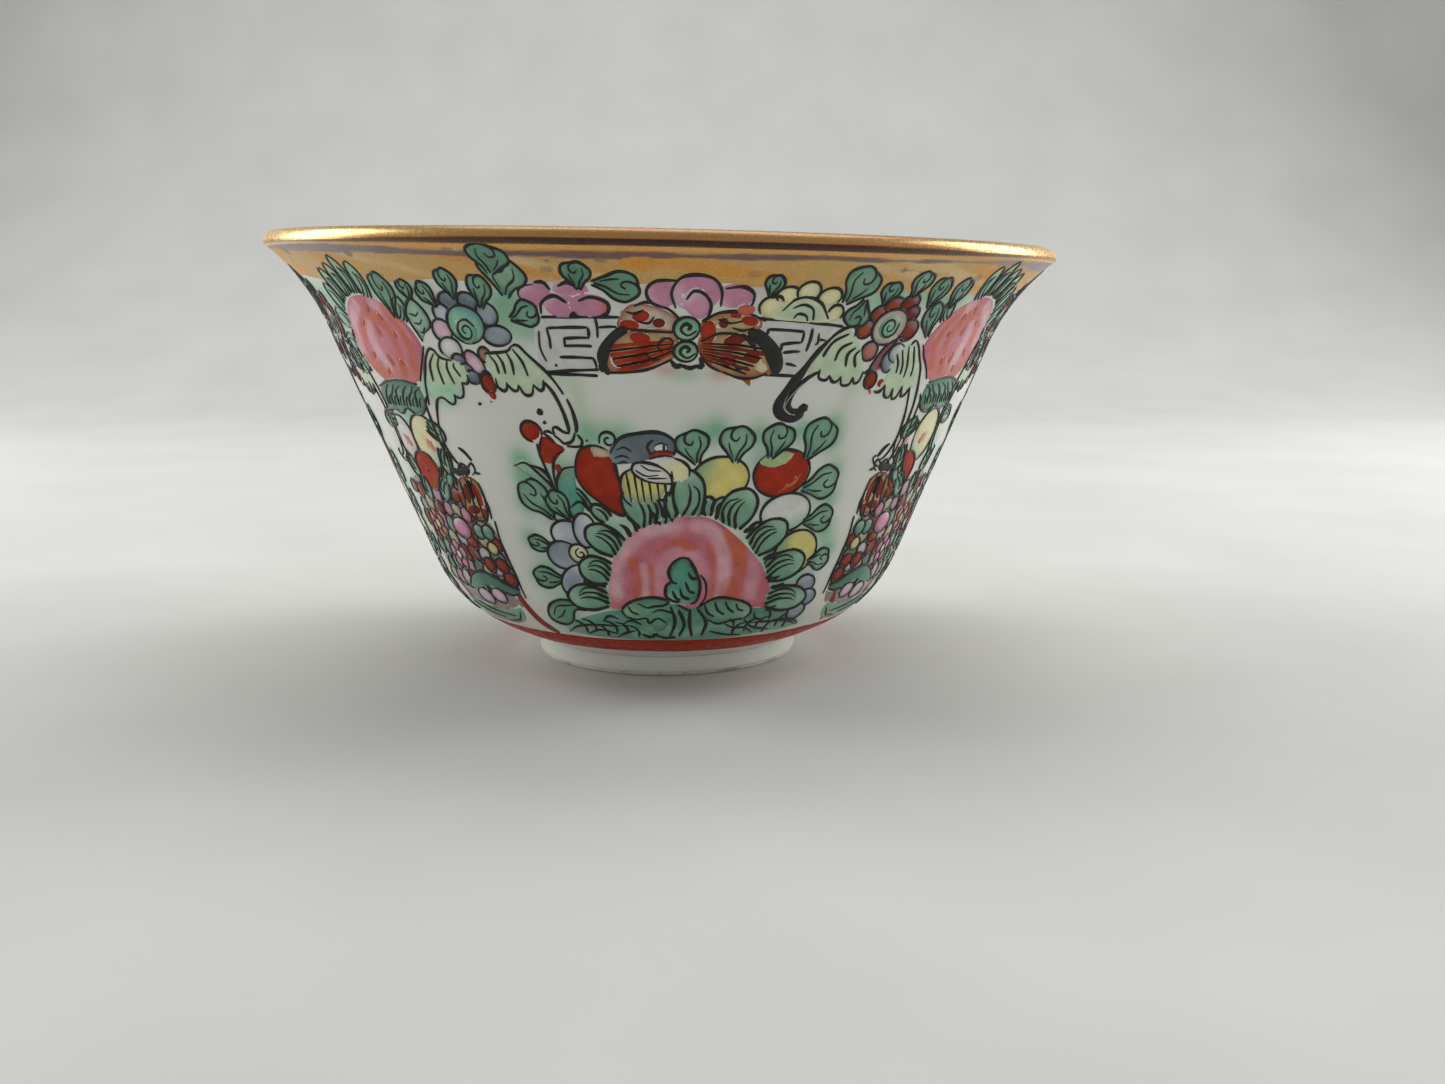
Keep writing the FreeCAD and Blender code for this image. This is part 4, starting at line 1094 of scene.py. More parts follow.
def base_leaves(paint):
    """The dark leaves and blades under the peony."""
    paint.fill("base_leaves",
               [(-27, 7.9), (-23, 9.6), (-18, 10.8), (-10, 11.8), (4, 12), (16, 11.6), (25, 11.2),
                (32, 9.8), (36.5, 7.9), (28, 7.5), (16, 6.9), (4, 6.8), (-8, 6.9), (-20, 7.2)],
               wash((0.13, 0.36, 0.25), (0.17, 0.42, 0.30), (0.07, 0.24, 0.16), 60, 0.8, 0.6), 1,
               [([(-27, 8), (-16, 8.8)], 0.5, PALE_LEAF, 0.5, 0.8),
                ([(14, 9), (34, 8.4)], 0.4, PALE_LEAF, 0.45, 0.8),
                ([(-8, 8), (-2, 9), (2, 8)], 0.5, PALE_LEAF, 0.5, 0.8),
                ([(5, 8), (11, 9.6)], 0.6, PALE_LEAF, 0.4, 0.8)], gap=0.4)
    paint.fill("base_leaves",
               [(-10.2, 11.8), (-8, 12.9), (-4, 13.4), (0, 13), (4.6, 11.6), (1.2, 10.6), (-0.6, 8.8),
                (-3, 8.4), (-4.6, 9.8), (-7.4, 10.4)],
               wash(LEAF, DEEP_LEAF, PALE_LEAF, 200, 0.8, 0.7), 3)
    paint.fill("base_leaves",
               [(7, 12.2), (10.6, 13.1), (15, 12.8), (18.6, 11.9), (19.5, 10.8), (17.4, 9.8), (13, 9.4),
                (9, 10)],
               wash(LEAF, DEEP_LEAF, PALE_LEAF, 0, 0.8, 0.7), 3)
    paint.lines(0.42, [(-9.4, 10.6), (-10.3, 11.7), (-8, 12.9), (-4, 13.5), (0, 13.1), (4.8, 11.6)],
                [(6.4, 11.9), (10.6, 13.2), (15, 12.9), (18.6, 12), (19.6, 10.9), (18.4, 10)])
    paint.lines(0.34, [(-9.4, 10.7), (-7.4, 10.4), (-4.9, 10.6), (-4.4, 9.8), (-2.4, 10.6), (-0.4, 9.9)],
                [(-6.6, 12.7), (-4.6, 12.1), (-3, 12.3), (-1, 12.4), (0.6, 12.9)],
                [(-3.6, 11.4), (-1.6, 11.8), (1.2, 11.3)], [(-8.8, 12.3), (-8.1, 11.5), (-6.6, 11.1)],
                [(8.2, 12.4), (9.1, 11.2), (10.8, 10.6)], [(10.4, 12.8), (11.4, 11.5), (13.2, 10.8)],
                [(12.8, 12.7), (13.8, 11.7), (15.4, 11)], [(9.4, 10.2), (12, 9.5), (15, 9.9), (18, 10.1)],
                [(15.5, 12.3), (16.2, 11.5), (17.6, 11.2)], end=0.9)
    for index in range(6):
        a, z = -22.5 + 2.7 * index, 8.9 + 0.4 * math.sin(2.3 * index)
        paint.ink([(a - 0.9, z + 0.9), (a + 0.9, z + 0.6), (a + 1.8, z - 0.2), (a + 1.5, z - 1.0)], 0.36,
                  0.3, 1.1)
        a = 33.0 - 2.9 * index
        paint.ink([(a + 0.9, z + 0.9), (a - 0.9, z + 0.6), (a - 1.8, z - 0.2), (a - 1.5, z - 1.0)], 0.36,
                  0.3, 1.1)
    paint.lines(0.46, [(0.6, 12.3), (1.7, 10), (0.6, 7.7)], [(2.4, 11.8), (3.9, 9.6), (2.9, 7.7)],
                [(5, 11.8), (5.2, 9.6), (6.2, 7.6)], [(6.7, 11.8), (9.1, 9.8), (8.7, 7.7)],
                [(-3.8, 8.1), (-1, 7.4), (2, 7.5)], [(-6.6, 8), (-4.4, 7.5), (-2.6, 8.2)], start=0.8,
                end=0.9)
    paint.lines(0.4, [(-11.6, 9.3), (-17, 9.3), (-22.5, 8.9), (-26.6, 7.7)],
                [(-12.8, 8), (-17, 8.5), (-21, 7.7)], [(-11.4, 10.4), (-13.6, 10.8), (-15.4, 10)],
                [(-6.2, 9.6), (-8.6, 10.2), (-10.8, 9.6)], [(-8, 8.6), (-10.4, 8.2), (-13.2, 7.4)],
                [(18.4, 9.9), (21.5, 8.6), (27, 7.9)], [(20, 9.3), (26, 9.2), (31, 8.9), (35.6, 8)],
                [(10.4, 8.4), (14.6, 7.7), (19.4, 7.4)],
                [(13.8, 9.4), (16.5, 8.7), (19.4, 8.6), (22.6, 7.6)],
                [(14.6, 10.2), (16, 9.6), (16.4, 8.8)], [(20.6, 10.8), (21.4, 9.9), (23.6, 9.6)],
                [(24.4, 10.9), (25.4, 10.1), (25.2, 9.6)], [(27, 9.4), (31, 9.2), (34.6, 8.6), (36.2, 8)],
                start=0.4, end=0.4)
    paint.fill("base_leaves",
               [(-29.4, 9.6), (-28.8, 11.1), (-26.5, 12.2), (-23.4, 12.6), (-19.8, 12.3), (-21.6, 11.1),
                (-23.2, 9.7), (-25.8, 9)],
               wash(LEAF, DEEP_LEAF, PALE_LEAF, 200, 0.8, 0.5), 2)
    paint.lines(0.36, [(-19.4, 12.1), (-23.4, 12.7), (-26.5, 12.3), (-28.8, 11.2), (-29.5, 9.7), (-27.6, 9),
                       (-25.2, 9), (-23.2, 9.8), (-21.6, 11.3), (-18.6, 11.4)])
    paint.lines(0.26, [(-28, 10.3), (-26.2, 11.6), (-23.6, 11.9), (-21, 12.1)],
                [(-27.6, 9.8), (-25.6, 10.4), (-24, 11.4)])


def left_spray(paint):
    """Blades, buds and the blue flower at the peony's left."""
    paint.fill("spray_leaves",
               [(-27.4, 29.7), (-25.6, 30.6), (-23, 29.7), (-20.6, 27.2), (-17.4, 23.2), (-16.6, 22.4),
                (-19.4, 25.2), (-22.4, 27.9), (-24.8, 29.3)],
               wash(LEAF, None, PALE_LEAF, 140), 1)
    paint.fill("spray_leaves",
               [(-15.9, 29.9), (-18.2, 29.4), (-19.9, 27.8), (-19.6, 25.6), (-18, 23.6), (-16.8, 22.9),
                (-15.4, 24.6), (-14.6, 26.4), (-16.2, 27.6)],
               wash((0.12, 0.40, 0.30), DEEP_LEAF, PALE_LEAF, 100, 0.8, 0.5), 1)
    paint.lines(0.42, [(-27.4, 29.7), (-25, 30.1), (-22.6, 28.7), (-20.3, 26.8), (-17, 22.6)],
                [(-24, 29.9), (-21.8, 29.2), (-20.5, 27.6)], start=0.5, end=0.5)
    paint.lines(0.36, [(-15.8, 29.9), (-18.4, 29.4), (-19.8, 27.6), (-19.3, 25.4)],
                [(-16.4, 27), (-15.8, 27.1), (-14.2, 25.6), (-13.6, 23.8)],
                [(-16.4, 26.8), (-15.4, 26), (-14, 24.2)], [(-18, 24.8), (-16, 25.6), (-14.4, 24.4)],
                start=0.4)
    curl_leaf(paint, -24.3, 25.6, -50, 4.6, 3.4, hand=-1.0)
    curl_leaf(paint, -20.0, 25.0, -60, 3.4, 2.4, hand=1.0, deep=0.3)
    paint.lines(0.3, [(-22.4, 23.9), (-20.6, 22.6), (-19.4, 21.9)],
                [(-19.0, 23.6), (-18.4, 22.9), (-17.6, 22.5)])
    curl_leaf(paint, -25.7, 19.9, -12, 3.1, 1.8)
    curl_leaf(paint, -25.8, 15.5, -4, 3.9, 2.4, deep=0.3)
    petal(paint, -19.6, 21.4, 3.3, 1.7, PALE_BLUE, WHITE, 160, "blue_flowers", line=0.36)
    petal(paint, -15.9, 22.0, 2.2, 2.1, PALE_BLUE, WHITE, 60, "blue_flowers", line=0.36)
    petal(paint, -21.3, 18.7, 3.5, 1.75, GREY_BLUE, PALE_BLUE, 270, "blue_flowers", order=3, line=0.36)
    paint.fill("blue_flowers",
               [(-17, 17.4), (-19.4, 17.4), (-22, 16.4), (-23.2, 14.8), (-22.2, 13.4), (-20.6, 13.1),
                (-18.8, 14.2), (-17.6, 15.8)],
               wash(GREY_BLUE, PALE_BLUE, WHITE, 60, 0.7, 0.6), 3)
    paint.ink([(-17, 17.4), (-19.4, 17.4), (-22, 16.4), (-23.2, 14.8), (-22.2, 13.4), (-20.6, 13.1),
               (-18.8, 14.2), (-17.5, 15.8), (-16.9, 17.2)], 0.36)
    petal(paint, -18, 19, 1.9, 1.15, PALE_YELLOW, WHITE, 90, "blue_flowers", order=4)
    spiral(paint, -17.5, 19, 0.75, 1.2, 100, 0.34)


def grapes(paint):
    for a, z in ((32.2, 14.1), (33.9, 12.1), (32.5, 10.2)):
        petal(paint, a, z, 2.5, 1.1, GREY_BLUE, PALE_BLUE, 110, "blue_flowers", order=3, tilt=-18, line=0.34)


def buds(paint):
    """Two red buds on forked stems at the upper left."""
    paint.fill("red_fruits", oval(-22.6, 34.1, 1.7, 1.25, -20),
               wash(IRON_RED, None, ORANGE, 120, 0.7, 0.5), 2)
    paint.ink(oval(-22.5, 33.9, 1.9, 1.2, -20)[:9], 0.36)
    paint.fill("red_fruits",
               [(-20.6, 33.4), (-18.4, 32.6), (-17, 32), (-18.2, 31.2), (-19.6, 30.2), (-21.4, 30.3),
                (-21.6, 31.6)],
               wash(IRON_RED, None, ORANGE, 200, 0.7, 0.4), 2)
    paint.fill("red_fruits", oval(-18.9, 29.6, 0.6, 0.6), wash(IRON_RED), 2)
    paint.lines(0.36, [(-22, 32.5), (-21.6, 30.5), (-20.4, 27.2)],
                [(-17.4, 31.7), (-19.2, 31), (-20, 28.9), (-19.9, 27)],
                [(-20.8, 33.4), (-21.8, 31.6), (-21.5, 30)])


def spray_fruits(paint, palette):
    """Peach, plums and pears above the peony. palette gives each fruit's colour and where it drifts to."""
    peach = [(-15.8, 28.6), (-15.5, 30.6), (-14.3, 32), (-12, 32.4), (-10.1, 31.9), (-9, 30.8),
             (-8.4, 28.6), (-7.4, 26.4), (-6.8, 24.8), (-8, 24), (-9.8, 24.4), (-12.2, 25.6), (-14.6, 27)]
    colour, drift = palette[0]
    paint.fill("red_fruits", peach, wash(colour, None, drift, 270, 0.8, 0.5), 2, lift=0.03)
    paint.ink(peach, 0.38, closed=True)
    paint.fill("fruits", [(-12.4, 32.4), (-10.2, 32), (-9.6, 31.2), (-11.6, 31.1), (-12.6, 31.6)],
               wash((0.62, 0.50, 0.30)), 4)
    spiral(paint, -9.5, 33.1, 1.15, 1.4, 200, 0.32, -1.0)
    places = [(9.4, 28.4, 4.9, 2.6, 170), (20.6, 28.8, 5.2, 2.8, 130), (23, 23.8, 5.1, 2.35, 290),
              (27.3, 18.5, 4.9, 2.8, 180)]
    for (a, z, wide, tall, toward), (colour, drift) in zip(places, palette[1:]):
        group = "red_fruits" if colour == IRON_RED else "fruits"
        fruit(paint, a, z, wide, tall, colour, drift, toward, 1, group, 0, 0.8)
    if palette[2][0] == IRON_RED:
        cap = [(15.9, 30.2), (17.4, 31.1), (20, 31.5), (22, 31.1), (21, 30.1), (18.6, 29.6), (16.6, 29.9)]
        paint.fill("spray_leaves", cap, wash((0.45, 0.58, 0.28), (0.5, 0.62, 0.32)), 3)
        paint.fill("red_fruits", [(20, 26.2), (23.4, 27.6), (24.6, 29), (23.2, 28), (21, 26.8)],
                   wash(ORANGE, ORANGE), 3)


def outer_curls(paint):
    """Curled leaves that close the spray above and at the right, and the haze of green about them."""
    for a, z, toward, length, width, hand in (
            (4.3, 32.2, -80, 3.4, 3.3, 1), (11.6, 32.5, -95, 3.6, 3.5, 1),
            (18.6, 32.7, -100, 3.5, 3.4, -1), (26.2, 32.7, -110, 4.3, 3.9, -1),
            (29.0, 27.2, 195, 4.3, 3.7, -1), (30.8, 22.6, 190, 3.6, 3.0, -1),
            (33.7, 17.2, 180, 2.9, 2.5, 1)):
        curl_leaf(paint, a, z, toward, length, width, hand=hand)
    paint.haze((-25.6, 30.4), (-26.8, 25), (-27.8, 20.4), (-28, 15.4), (-26, 28.2), (29.2, 32.4),
               (28.4, 34.4), (32, 25.2), (35.4, 18.4), (8.2, 34.3), (31.2, 28.6), (20, 24.9), (15.2, 33.6),
               (22.6, 33.8), (33.4, 21), strength=0.95, width=1.6, rise=1.6)
    paint.haze((-12.5, 33.6), (-7.8, 33.6), (5, 33.4), (17, 30.6), (-20.6, 23.6), (-24.5, 17), (-22, 12.6),
               (-25, 9.5), (30, 15), (-14, 26), (-11, 22), (24, 13.2), (31, 8.6), (-16, 19), (22, 19),
               (-22, 26.6), (-18, 29.6), (-13.4, 13), (25.6, 21), (26.4, 26.4), strength=0.85, width=2.2,
               rise=1.8)
    paint.haze((-8, 8), (5, 7.6), (17, 7.8), (27, 8.4), (-18, 9), strength=0.6, width=4.0, rise=1.2)


def bird(paint):
    """A small bird among the fruits, looking right."""
    paint.fill("bird",
               [(-9.6, 32), (-7.4, 33.4), (-4.4, 33.8), (-1.4, 33.9), (0.6, 33.3), (1.5, 32.2), (0, 31.2),
                (-2.6, 30.9), (-6.4, 30.3), (-9, 30.4)],
               wash((0.13, 0.165, 0.185), (0.10, 0.13, 0.15), (0.26, 0.32, 0.34), 200, 0.8, 0.7), 3,
               [([(-2.4, 33.6), (0, 33.3)], 0.8, SLATE, 0.9, 0.7),
                ([(-8.6, 31.6), (-6, 31.8)], 0.3, SLATE, 0.6, 0.6)], gap=0.35)
    paint.lines(0.46,
                [(-9.4, 31.6), (-7.6, 33.3), (-4.6, 33.9), (-1.4, 34.0), (0.8, 33.3), (1.5, 32.2),
                 (1.1, 31.3)],
                [(-2.2, 33.2), (-3.2, 32.4), (-2.7, 31.5)])
    paint.lines(0.24, [(-8.3, 32), (-7, 32.3), (-5.8, 31.8)], [(-8.8, 31), (-7.4, 31.3), (-6.2, 31)],
                [(-8.4, 30.3), (-7.2, 30.6), (-6.6, 30.4)])
    paint.fill("bird", oval(-1, 32.2, 1.1, 0.5), wash(WHITE, WHITE), 6)
    paint.ink([(-0.5, 32.6), (-0.5, 31.9)], 0.5, 0.9, 0.9)
    paint.ink([(-1.9, 32.5), (-0.9, 32.8), (0.1, 32.5)], 0.22)
    paint.ink([(-3, 31.2), (-1, 31.7), (1.2, 31.4)], 0.45, 0.5, 0.8, IRON_RED, "border", lift=0.02)
    paint.lines(0.28, [(-3, 31.5), (-0.8, 31.9), (1.2, 31.6)], [(-3, 30.9), (-0.8, 31.3), (1.1, 31.1)])
    paint.fill("fruits", oval(-4.1, 27.8, 4.0, 2.3, -5),
               wash((0.74, 0.66, 0.22), (0.48, 0.46, 0.18), (0.26, 0.40, 0.22), 270, 0.7, 0.8), 3)
    paint.lines(0.3, *[[(a, 29.6 - 0.12 * abs(a + 5)), (a + 0.3, 27.6), (a + 0.6, 25.7)]
                       for a in (-7, -5.7, -4.6, -3.3, -1.9, -0.6)], start=0.7, end=0.5)
    paint.ink([(-5.9, 29.8), (-7.6, 29), (-8.2, 27.6), (-7.6, 26), (-6.4, 25.2)], 0.34)
    paint.fill("fruits",
               [(-1.6, 30.4), (0.2, 31.1), (2, 30.8), (3.6, 29.9), (3.8, 28.9), (1.8, 28.2), (0.2, 28.4)],
               wash(PALE_YELLOW, PALE_YELLOW, WHITE, 120, 0.8, 0.9), 3)
    paint.lines(0.34, [(1.2, 31), (2.6, 30.6), (3.8, 29.8), (3.8, 28.8)], [(0.8, 29.5), (1, 28), (0.4, 26.4)])
    paint.fill("bird",
               [(-5.9, 29.6), (-5.2, 30.4), (-3.6, 30.4), (-1.4, 30), (0.4, 29), (1, 28.1), (-1, 28),
                (-3, 28.2), (-4.8, 28.8)],
               wash(WHITE, (0.6, 0.6, 0.56)), 5)
    paint.lines(0.36,
                [(1, 28), (0.3, 29.2), (-1.6, 30.1), (-4, 30.5), (-5.6, 30.3), (-5.9, 29.4), (-4.6, 28.6),
                 (-2.6, 28.1), (0.9, 27.9)])
    paint.lines(0.28, [(-4.4, 30.2), (-3, 29.6), (-1, 29.5)], [(-5.4, 29.6), (-3.6, 28.9), (-1.4, 29)],
                [(-3.4, 28.6), (-1.8, 28.6), (0, 28.6)])


# ---------------------------------------------------------------- the collar of a panel


def butterfly(paint):
    """A butterfly over the key band: striped wings in olive, brown and red, black crescents at their ends."""
    pale, warm, brown = (0.66, 0.60, 0.48), (0.56, 0.44, 0.22), (0.40, 0.12, 0.07)
    wings = [
        ([(2, 46.6), (-0.8, 47.9), (-4.2, 48.2), (-5.8, 47), (-6.2, 45.6), (-2, 45.3), (1.8, 45.3)], pale,
         180),
        ([(1.8, 45.3), (-3, 45.5), (-6.8, 44.8), (-8.6, 43), (-8.4, 41), (-5, 40.9), (0, 41.7), (1.8, 42.8)],
         warm, 200),
        ([(5.2, 46.4), (8, 47.4), (12, 47.3), (13.8, 46), (12.4, 45.1), (8.4, 45), (5.2, 45)], warm, 90),
        ([(5.2, 45), (9, 45.1), (13, 44.6), (16, 42.9), (16.6, 40.9), (13.6, 40.2), (9.6, 40.3),
          (6.8, 41.3), (5, 42.8)], warm, 300)]
    for outline, colour, toward in wings:
        paint.fill("butterfly", outline, wash(colour, brown, brown, toward, 0.9, 0.45), 1)
    dabs = [(-3, 46.9, 1.2, 0.6, 10, IRON_RED), (-4.6, 46, 1.4, 0.5, -5, IRON_RED),
            (-0.6, 46.2, 0.9, 0.5, 0, BROWN_RED), (-3.2, 44.6, 1.5, 0.6, -8, IRON_RED),
            (0.2, 44, 0.9, 0.8, 0, (0.4, 0.2, 0.06)), (-6.4, 42.2, 1.0, 0.8, 10, brown),
            (-3.0, 42.4, 1.4, 0.6, 5, BROWN_RED), (6.2, 45.2, 1.1, 1.3, 0, IRON_RED),
            (6.2, 43, 1.0, 1.5, 10, (0.42, 0.10, 0.03)), (8.2, 46.2, 0.7, 0.6, 20, BROWN_RED),
            (11.8, 46.4, 1.3, 0.5, -12, IRON_RED), (9.8, 47.1, 0.9, 0.4, 0, IRON_RED),
            (10.2, 44.4, 1.8, 0.6, 12, BROWN_RED), (12.8, 42.4, 1.3, 0.6, -10, BROWN_RED),
            (9.4, 42, 1.2, 0.5, -4, IRON_RED), (14.2, 41.3, 0.9, 0.6, 0, PALE_YELLOW)]
    for a, z, wide, tall, tilt, colour in dabs:
        paint.fill("butterfly", oval(a, z, wide, tall, tilt), wash(colour, colour), 3, gap=0.4)
    # veins fan out from the body over the lower wings, black between strokes of red
    for index in range(7):
        share = index / 6
        tip = (-7.9 + 1.2 * share, 43.6 - 2.5 * share)
        middle = (0.5 * (tip[0] + 1.6), 0.5 * (tip[1] + 43.4) + 0.5 - share)
        paint.ink([(1.4, 44.2 - 1.2 * share), middle, tip], (0.5, 0.26)[index % 2], 0.4, 0.9,
                  (IRON_RED, INK)[index % 2], "butterfly", lift=-0.03 + 0.02 * (index % 2))
        tip = (15.4 - 3.6 * share, 43.2 - 2.6 * share)
        middle = (0.5 * (tip[0] + 5.6), 0.5 * (tip[1] + 43.2) + 0.6 - share)
        paint.ink([(5.6, 44.0 - 1.6 * share), middle, tip], (0.26, 0.5)[index % 2], 0.4, 0.9,
                  (INK, BROWN_RED)[index % 2], "butterfly", lift=-0.01 - 0.02 * (index % 2))
    paint.fill("butterfly", [(11, 40.2), (12.4, 40.1), (12.6, 39.2), (11.8, 39.6)], wash(ORANGE), 2)
    paint.lines(0.34, [(-3.9, 48), (-2, 48.4), (0.6, 47.7), (2.6, 46.3)],
                [(-6, 45.7), (-3, 45.4), (1.4, 45.2)], [(-8.4, 40.8), (-5, 40.9), (-2, 41.3), (1.2, 42.3)],
                [(5.4, 46.3), (7.4, 47.3), (10.6, 47.4), (12.8, 46.8), (14, 46.4)],
                [(5.2, 44.2), (8, 45.1), (12, 44.7)], [(5.2, 43), (6.4, 41.6), (8, 40.9)],
                [(8.2, 40.9), (10.6, 40.2), (12.8, 40.1), (15, 40.6)])
    paint.lines(0.28, [(-1.2, 46.9), (-2, 46.2), (-3.6, 46.4)], [(-2.6, 47.6), (-3.8, 47.2), (-5, 47.4)],
                [(-2.4, 42.9), (-1.6, 42.2), (-0.4, 42.4)],
                [(0, 43), (-0.8, 43.8), (0.4, 44.6), (1.4, 44.2), (0.8, 43.2)],
                [(7.4, 46.6), (9, 46.2), (10.8, 46.4)], [(9.4, 45.7), (11, 45.4), (12.6, 45.7)],
                [(10, 41.9), (10.6, 41.2), (12, 41.4)])
    for z, wide, tall in ((45.6, 1.8, 1.25), (43.15, 1.7, 1.1)):
        paint.fill("collar_leaves", oval(3.2, z, wide, tall),
                   wash((0.30, 0.55, 0.36), LEAF, PALE_LEAF, 270), 5)
        paint.ink(oval(3.2, z, wide, tall), 0.34, closed=True, lift=0.02)
        paint.ink([(4.6, z - 0.2), (3.4, z - 0.7), (2.4, z - 0.1), (3.0, z + 0.55), (3.8, z + 0.2),
                   (3.3, z - 0.1)], 0.34, 0.6, 1.5, lift=0.02)
    paint.lines(0.55, [(1, 42.2), (1.6, 41.5), (2.6, 41.7)], [(2.4, 41.6), (3.6, 41.3), (4.8, 41.6)],
                [(4.4, 41.5), (5.4, 41.5), (5.2, 42.5)], lift=0.02)
    paint.ink([(-4.9, 45.7), (-6.9, 44.7), (-8.3, 43.2), (-8.8, 41.9), (-8.4, 40.6)], 1.25, 0.55, 0.6,
              lift=0.02)
    paint.ink([(-8.8, 42), (-9.3, 41.4), (-9.2, 40.9)], 0.5)
    paint.ink([(11.8, 45.3), (13.8, 44.5), (15.5, 43.2), (16.4, 41.8), (16.2, 40.5)], 1.75, 0.45, 0.8,
              lift=0.02)
    paint.ink([(11.2, 44.8), (12.6, 44), (13.4, 43)], 0.6, 0.4, 0.4)
    paint.haze((0, 41.2), (8, 40.7), colour=(0.80, 0.30, 0.28), strength=0.6, width=1.4, rise=0.8)
    paint.haze((3, 40.6), colour=HAZE_GREEN, strength=0.5, width=1.8, rise=0.8)


def key_band(paint):
    """The band with square meanders behind the butterfly."""
    ground = (0.66, 0.67, 0.62)
    paint.fill("key_ground", [(-17.8, 41), (-17.6, 46.4), (-10, 46.7), (-5, 46.7), (-4.6, 41), (-11, 40.8)],
               wash(ground, ground), 0, lift=0.0)
    paint.fill("key_ground", [(12, 40.9), (12.4, 46.6), (18, 46.3), (24.6, 46), (22.8, 43.2), (20.6, 40.4)],
               wash(ground, ground), 0, lift=0.0)
    for a, b in (((-16.8, 46.75), (-5.8, 46.8)), ((-18.2, 40.8), (-9.6, 41.15)),
                 ((-17.6, 40.6), (-10, 40.45)), ((-16.2, 45.6), (-10.4, 45.7)),
                 ((-14, 44.5), (-10.5, 44.6)), ((-13.9, 43.7), (-10, 43.7)), ((-15, 42.5), (-10, 42.4)),
                 ((12.6, 46.7), (20, 46.3)), ((20, 46.25), (26, 45.7)), ((13.4, 40.5), (20.6, 40.2)),
                 ((14.6, 45.5), (20, 45.2)), ((16.8, 43.8), (20, 44)), ((17.4, 42.9), (20, 43)),
                 ((17.9, 41.7), (19.6, 41.4))):
        middle = ((a[0] + b[0]) / 2, (a[1] + b[1]) / 2 + 0.04)
        paint.ink([a, middle, b], 0.36, 0.8, 0.8)
    for a, b in (((-16.3, 45.6), (-16.1, 43.4)), ((-10.4, 45.7), (-10.4, 44.5)),
                 ((-14, 44.5), (-14, 43.6)), ((-9.2, 46.7), (-9.1, 44.6)), ((-10.1, 42.5), (-9.9, 41.3)),
                 ((20, 45.2), (20, 44)), ((17, 43.9), (16.9, 43)), ((14.6, 45.6), (14.5, 44.9))):
        paint.ink([a, ((a[0] + b[0]) / 2 + 0.1, (a[1] + b[1]) / 2), b], 0.36, 0.8, 0.8)
    paint.ink([(-17.5, 45.3), (-17.7, 43.6), (-17.2, 42)], 0.3)
    paint.ink([(21.2, 45.6), (21.3, 44.4), (21, 43)], 0.5)
    paint.ink([(22.4, 45), (22.6, 44), (22.2, 43.7)], 0.34)
    paint.ink([(22.4, 44.3), (23.6, 44.2), (24, 44)], 0.26)
    paint.ink([(-9, 45.7), (-7, 45.8), (-5.6, 45.6)], 0.3)
    for a, z in ((-16, 41.6), (-5.6, 47.3)):
        paint.ink([(a, z + 0.12), (a + 0.1, z), (a, z - 0.12)], 0.35, 1, 1)


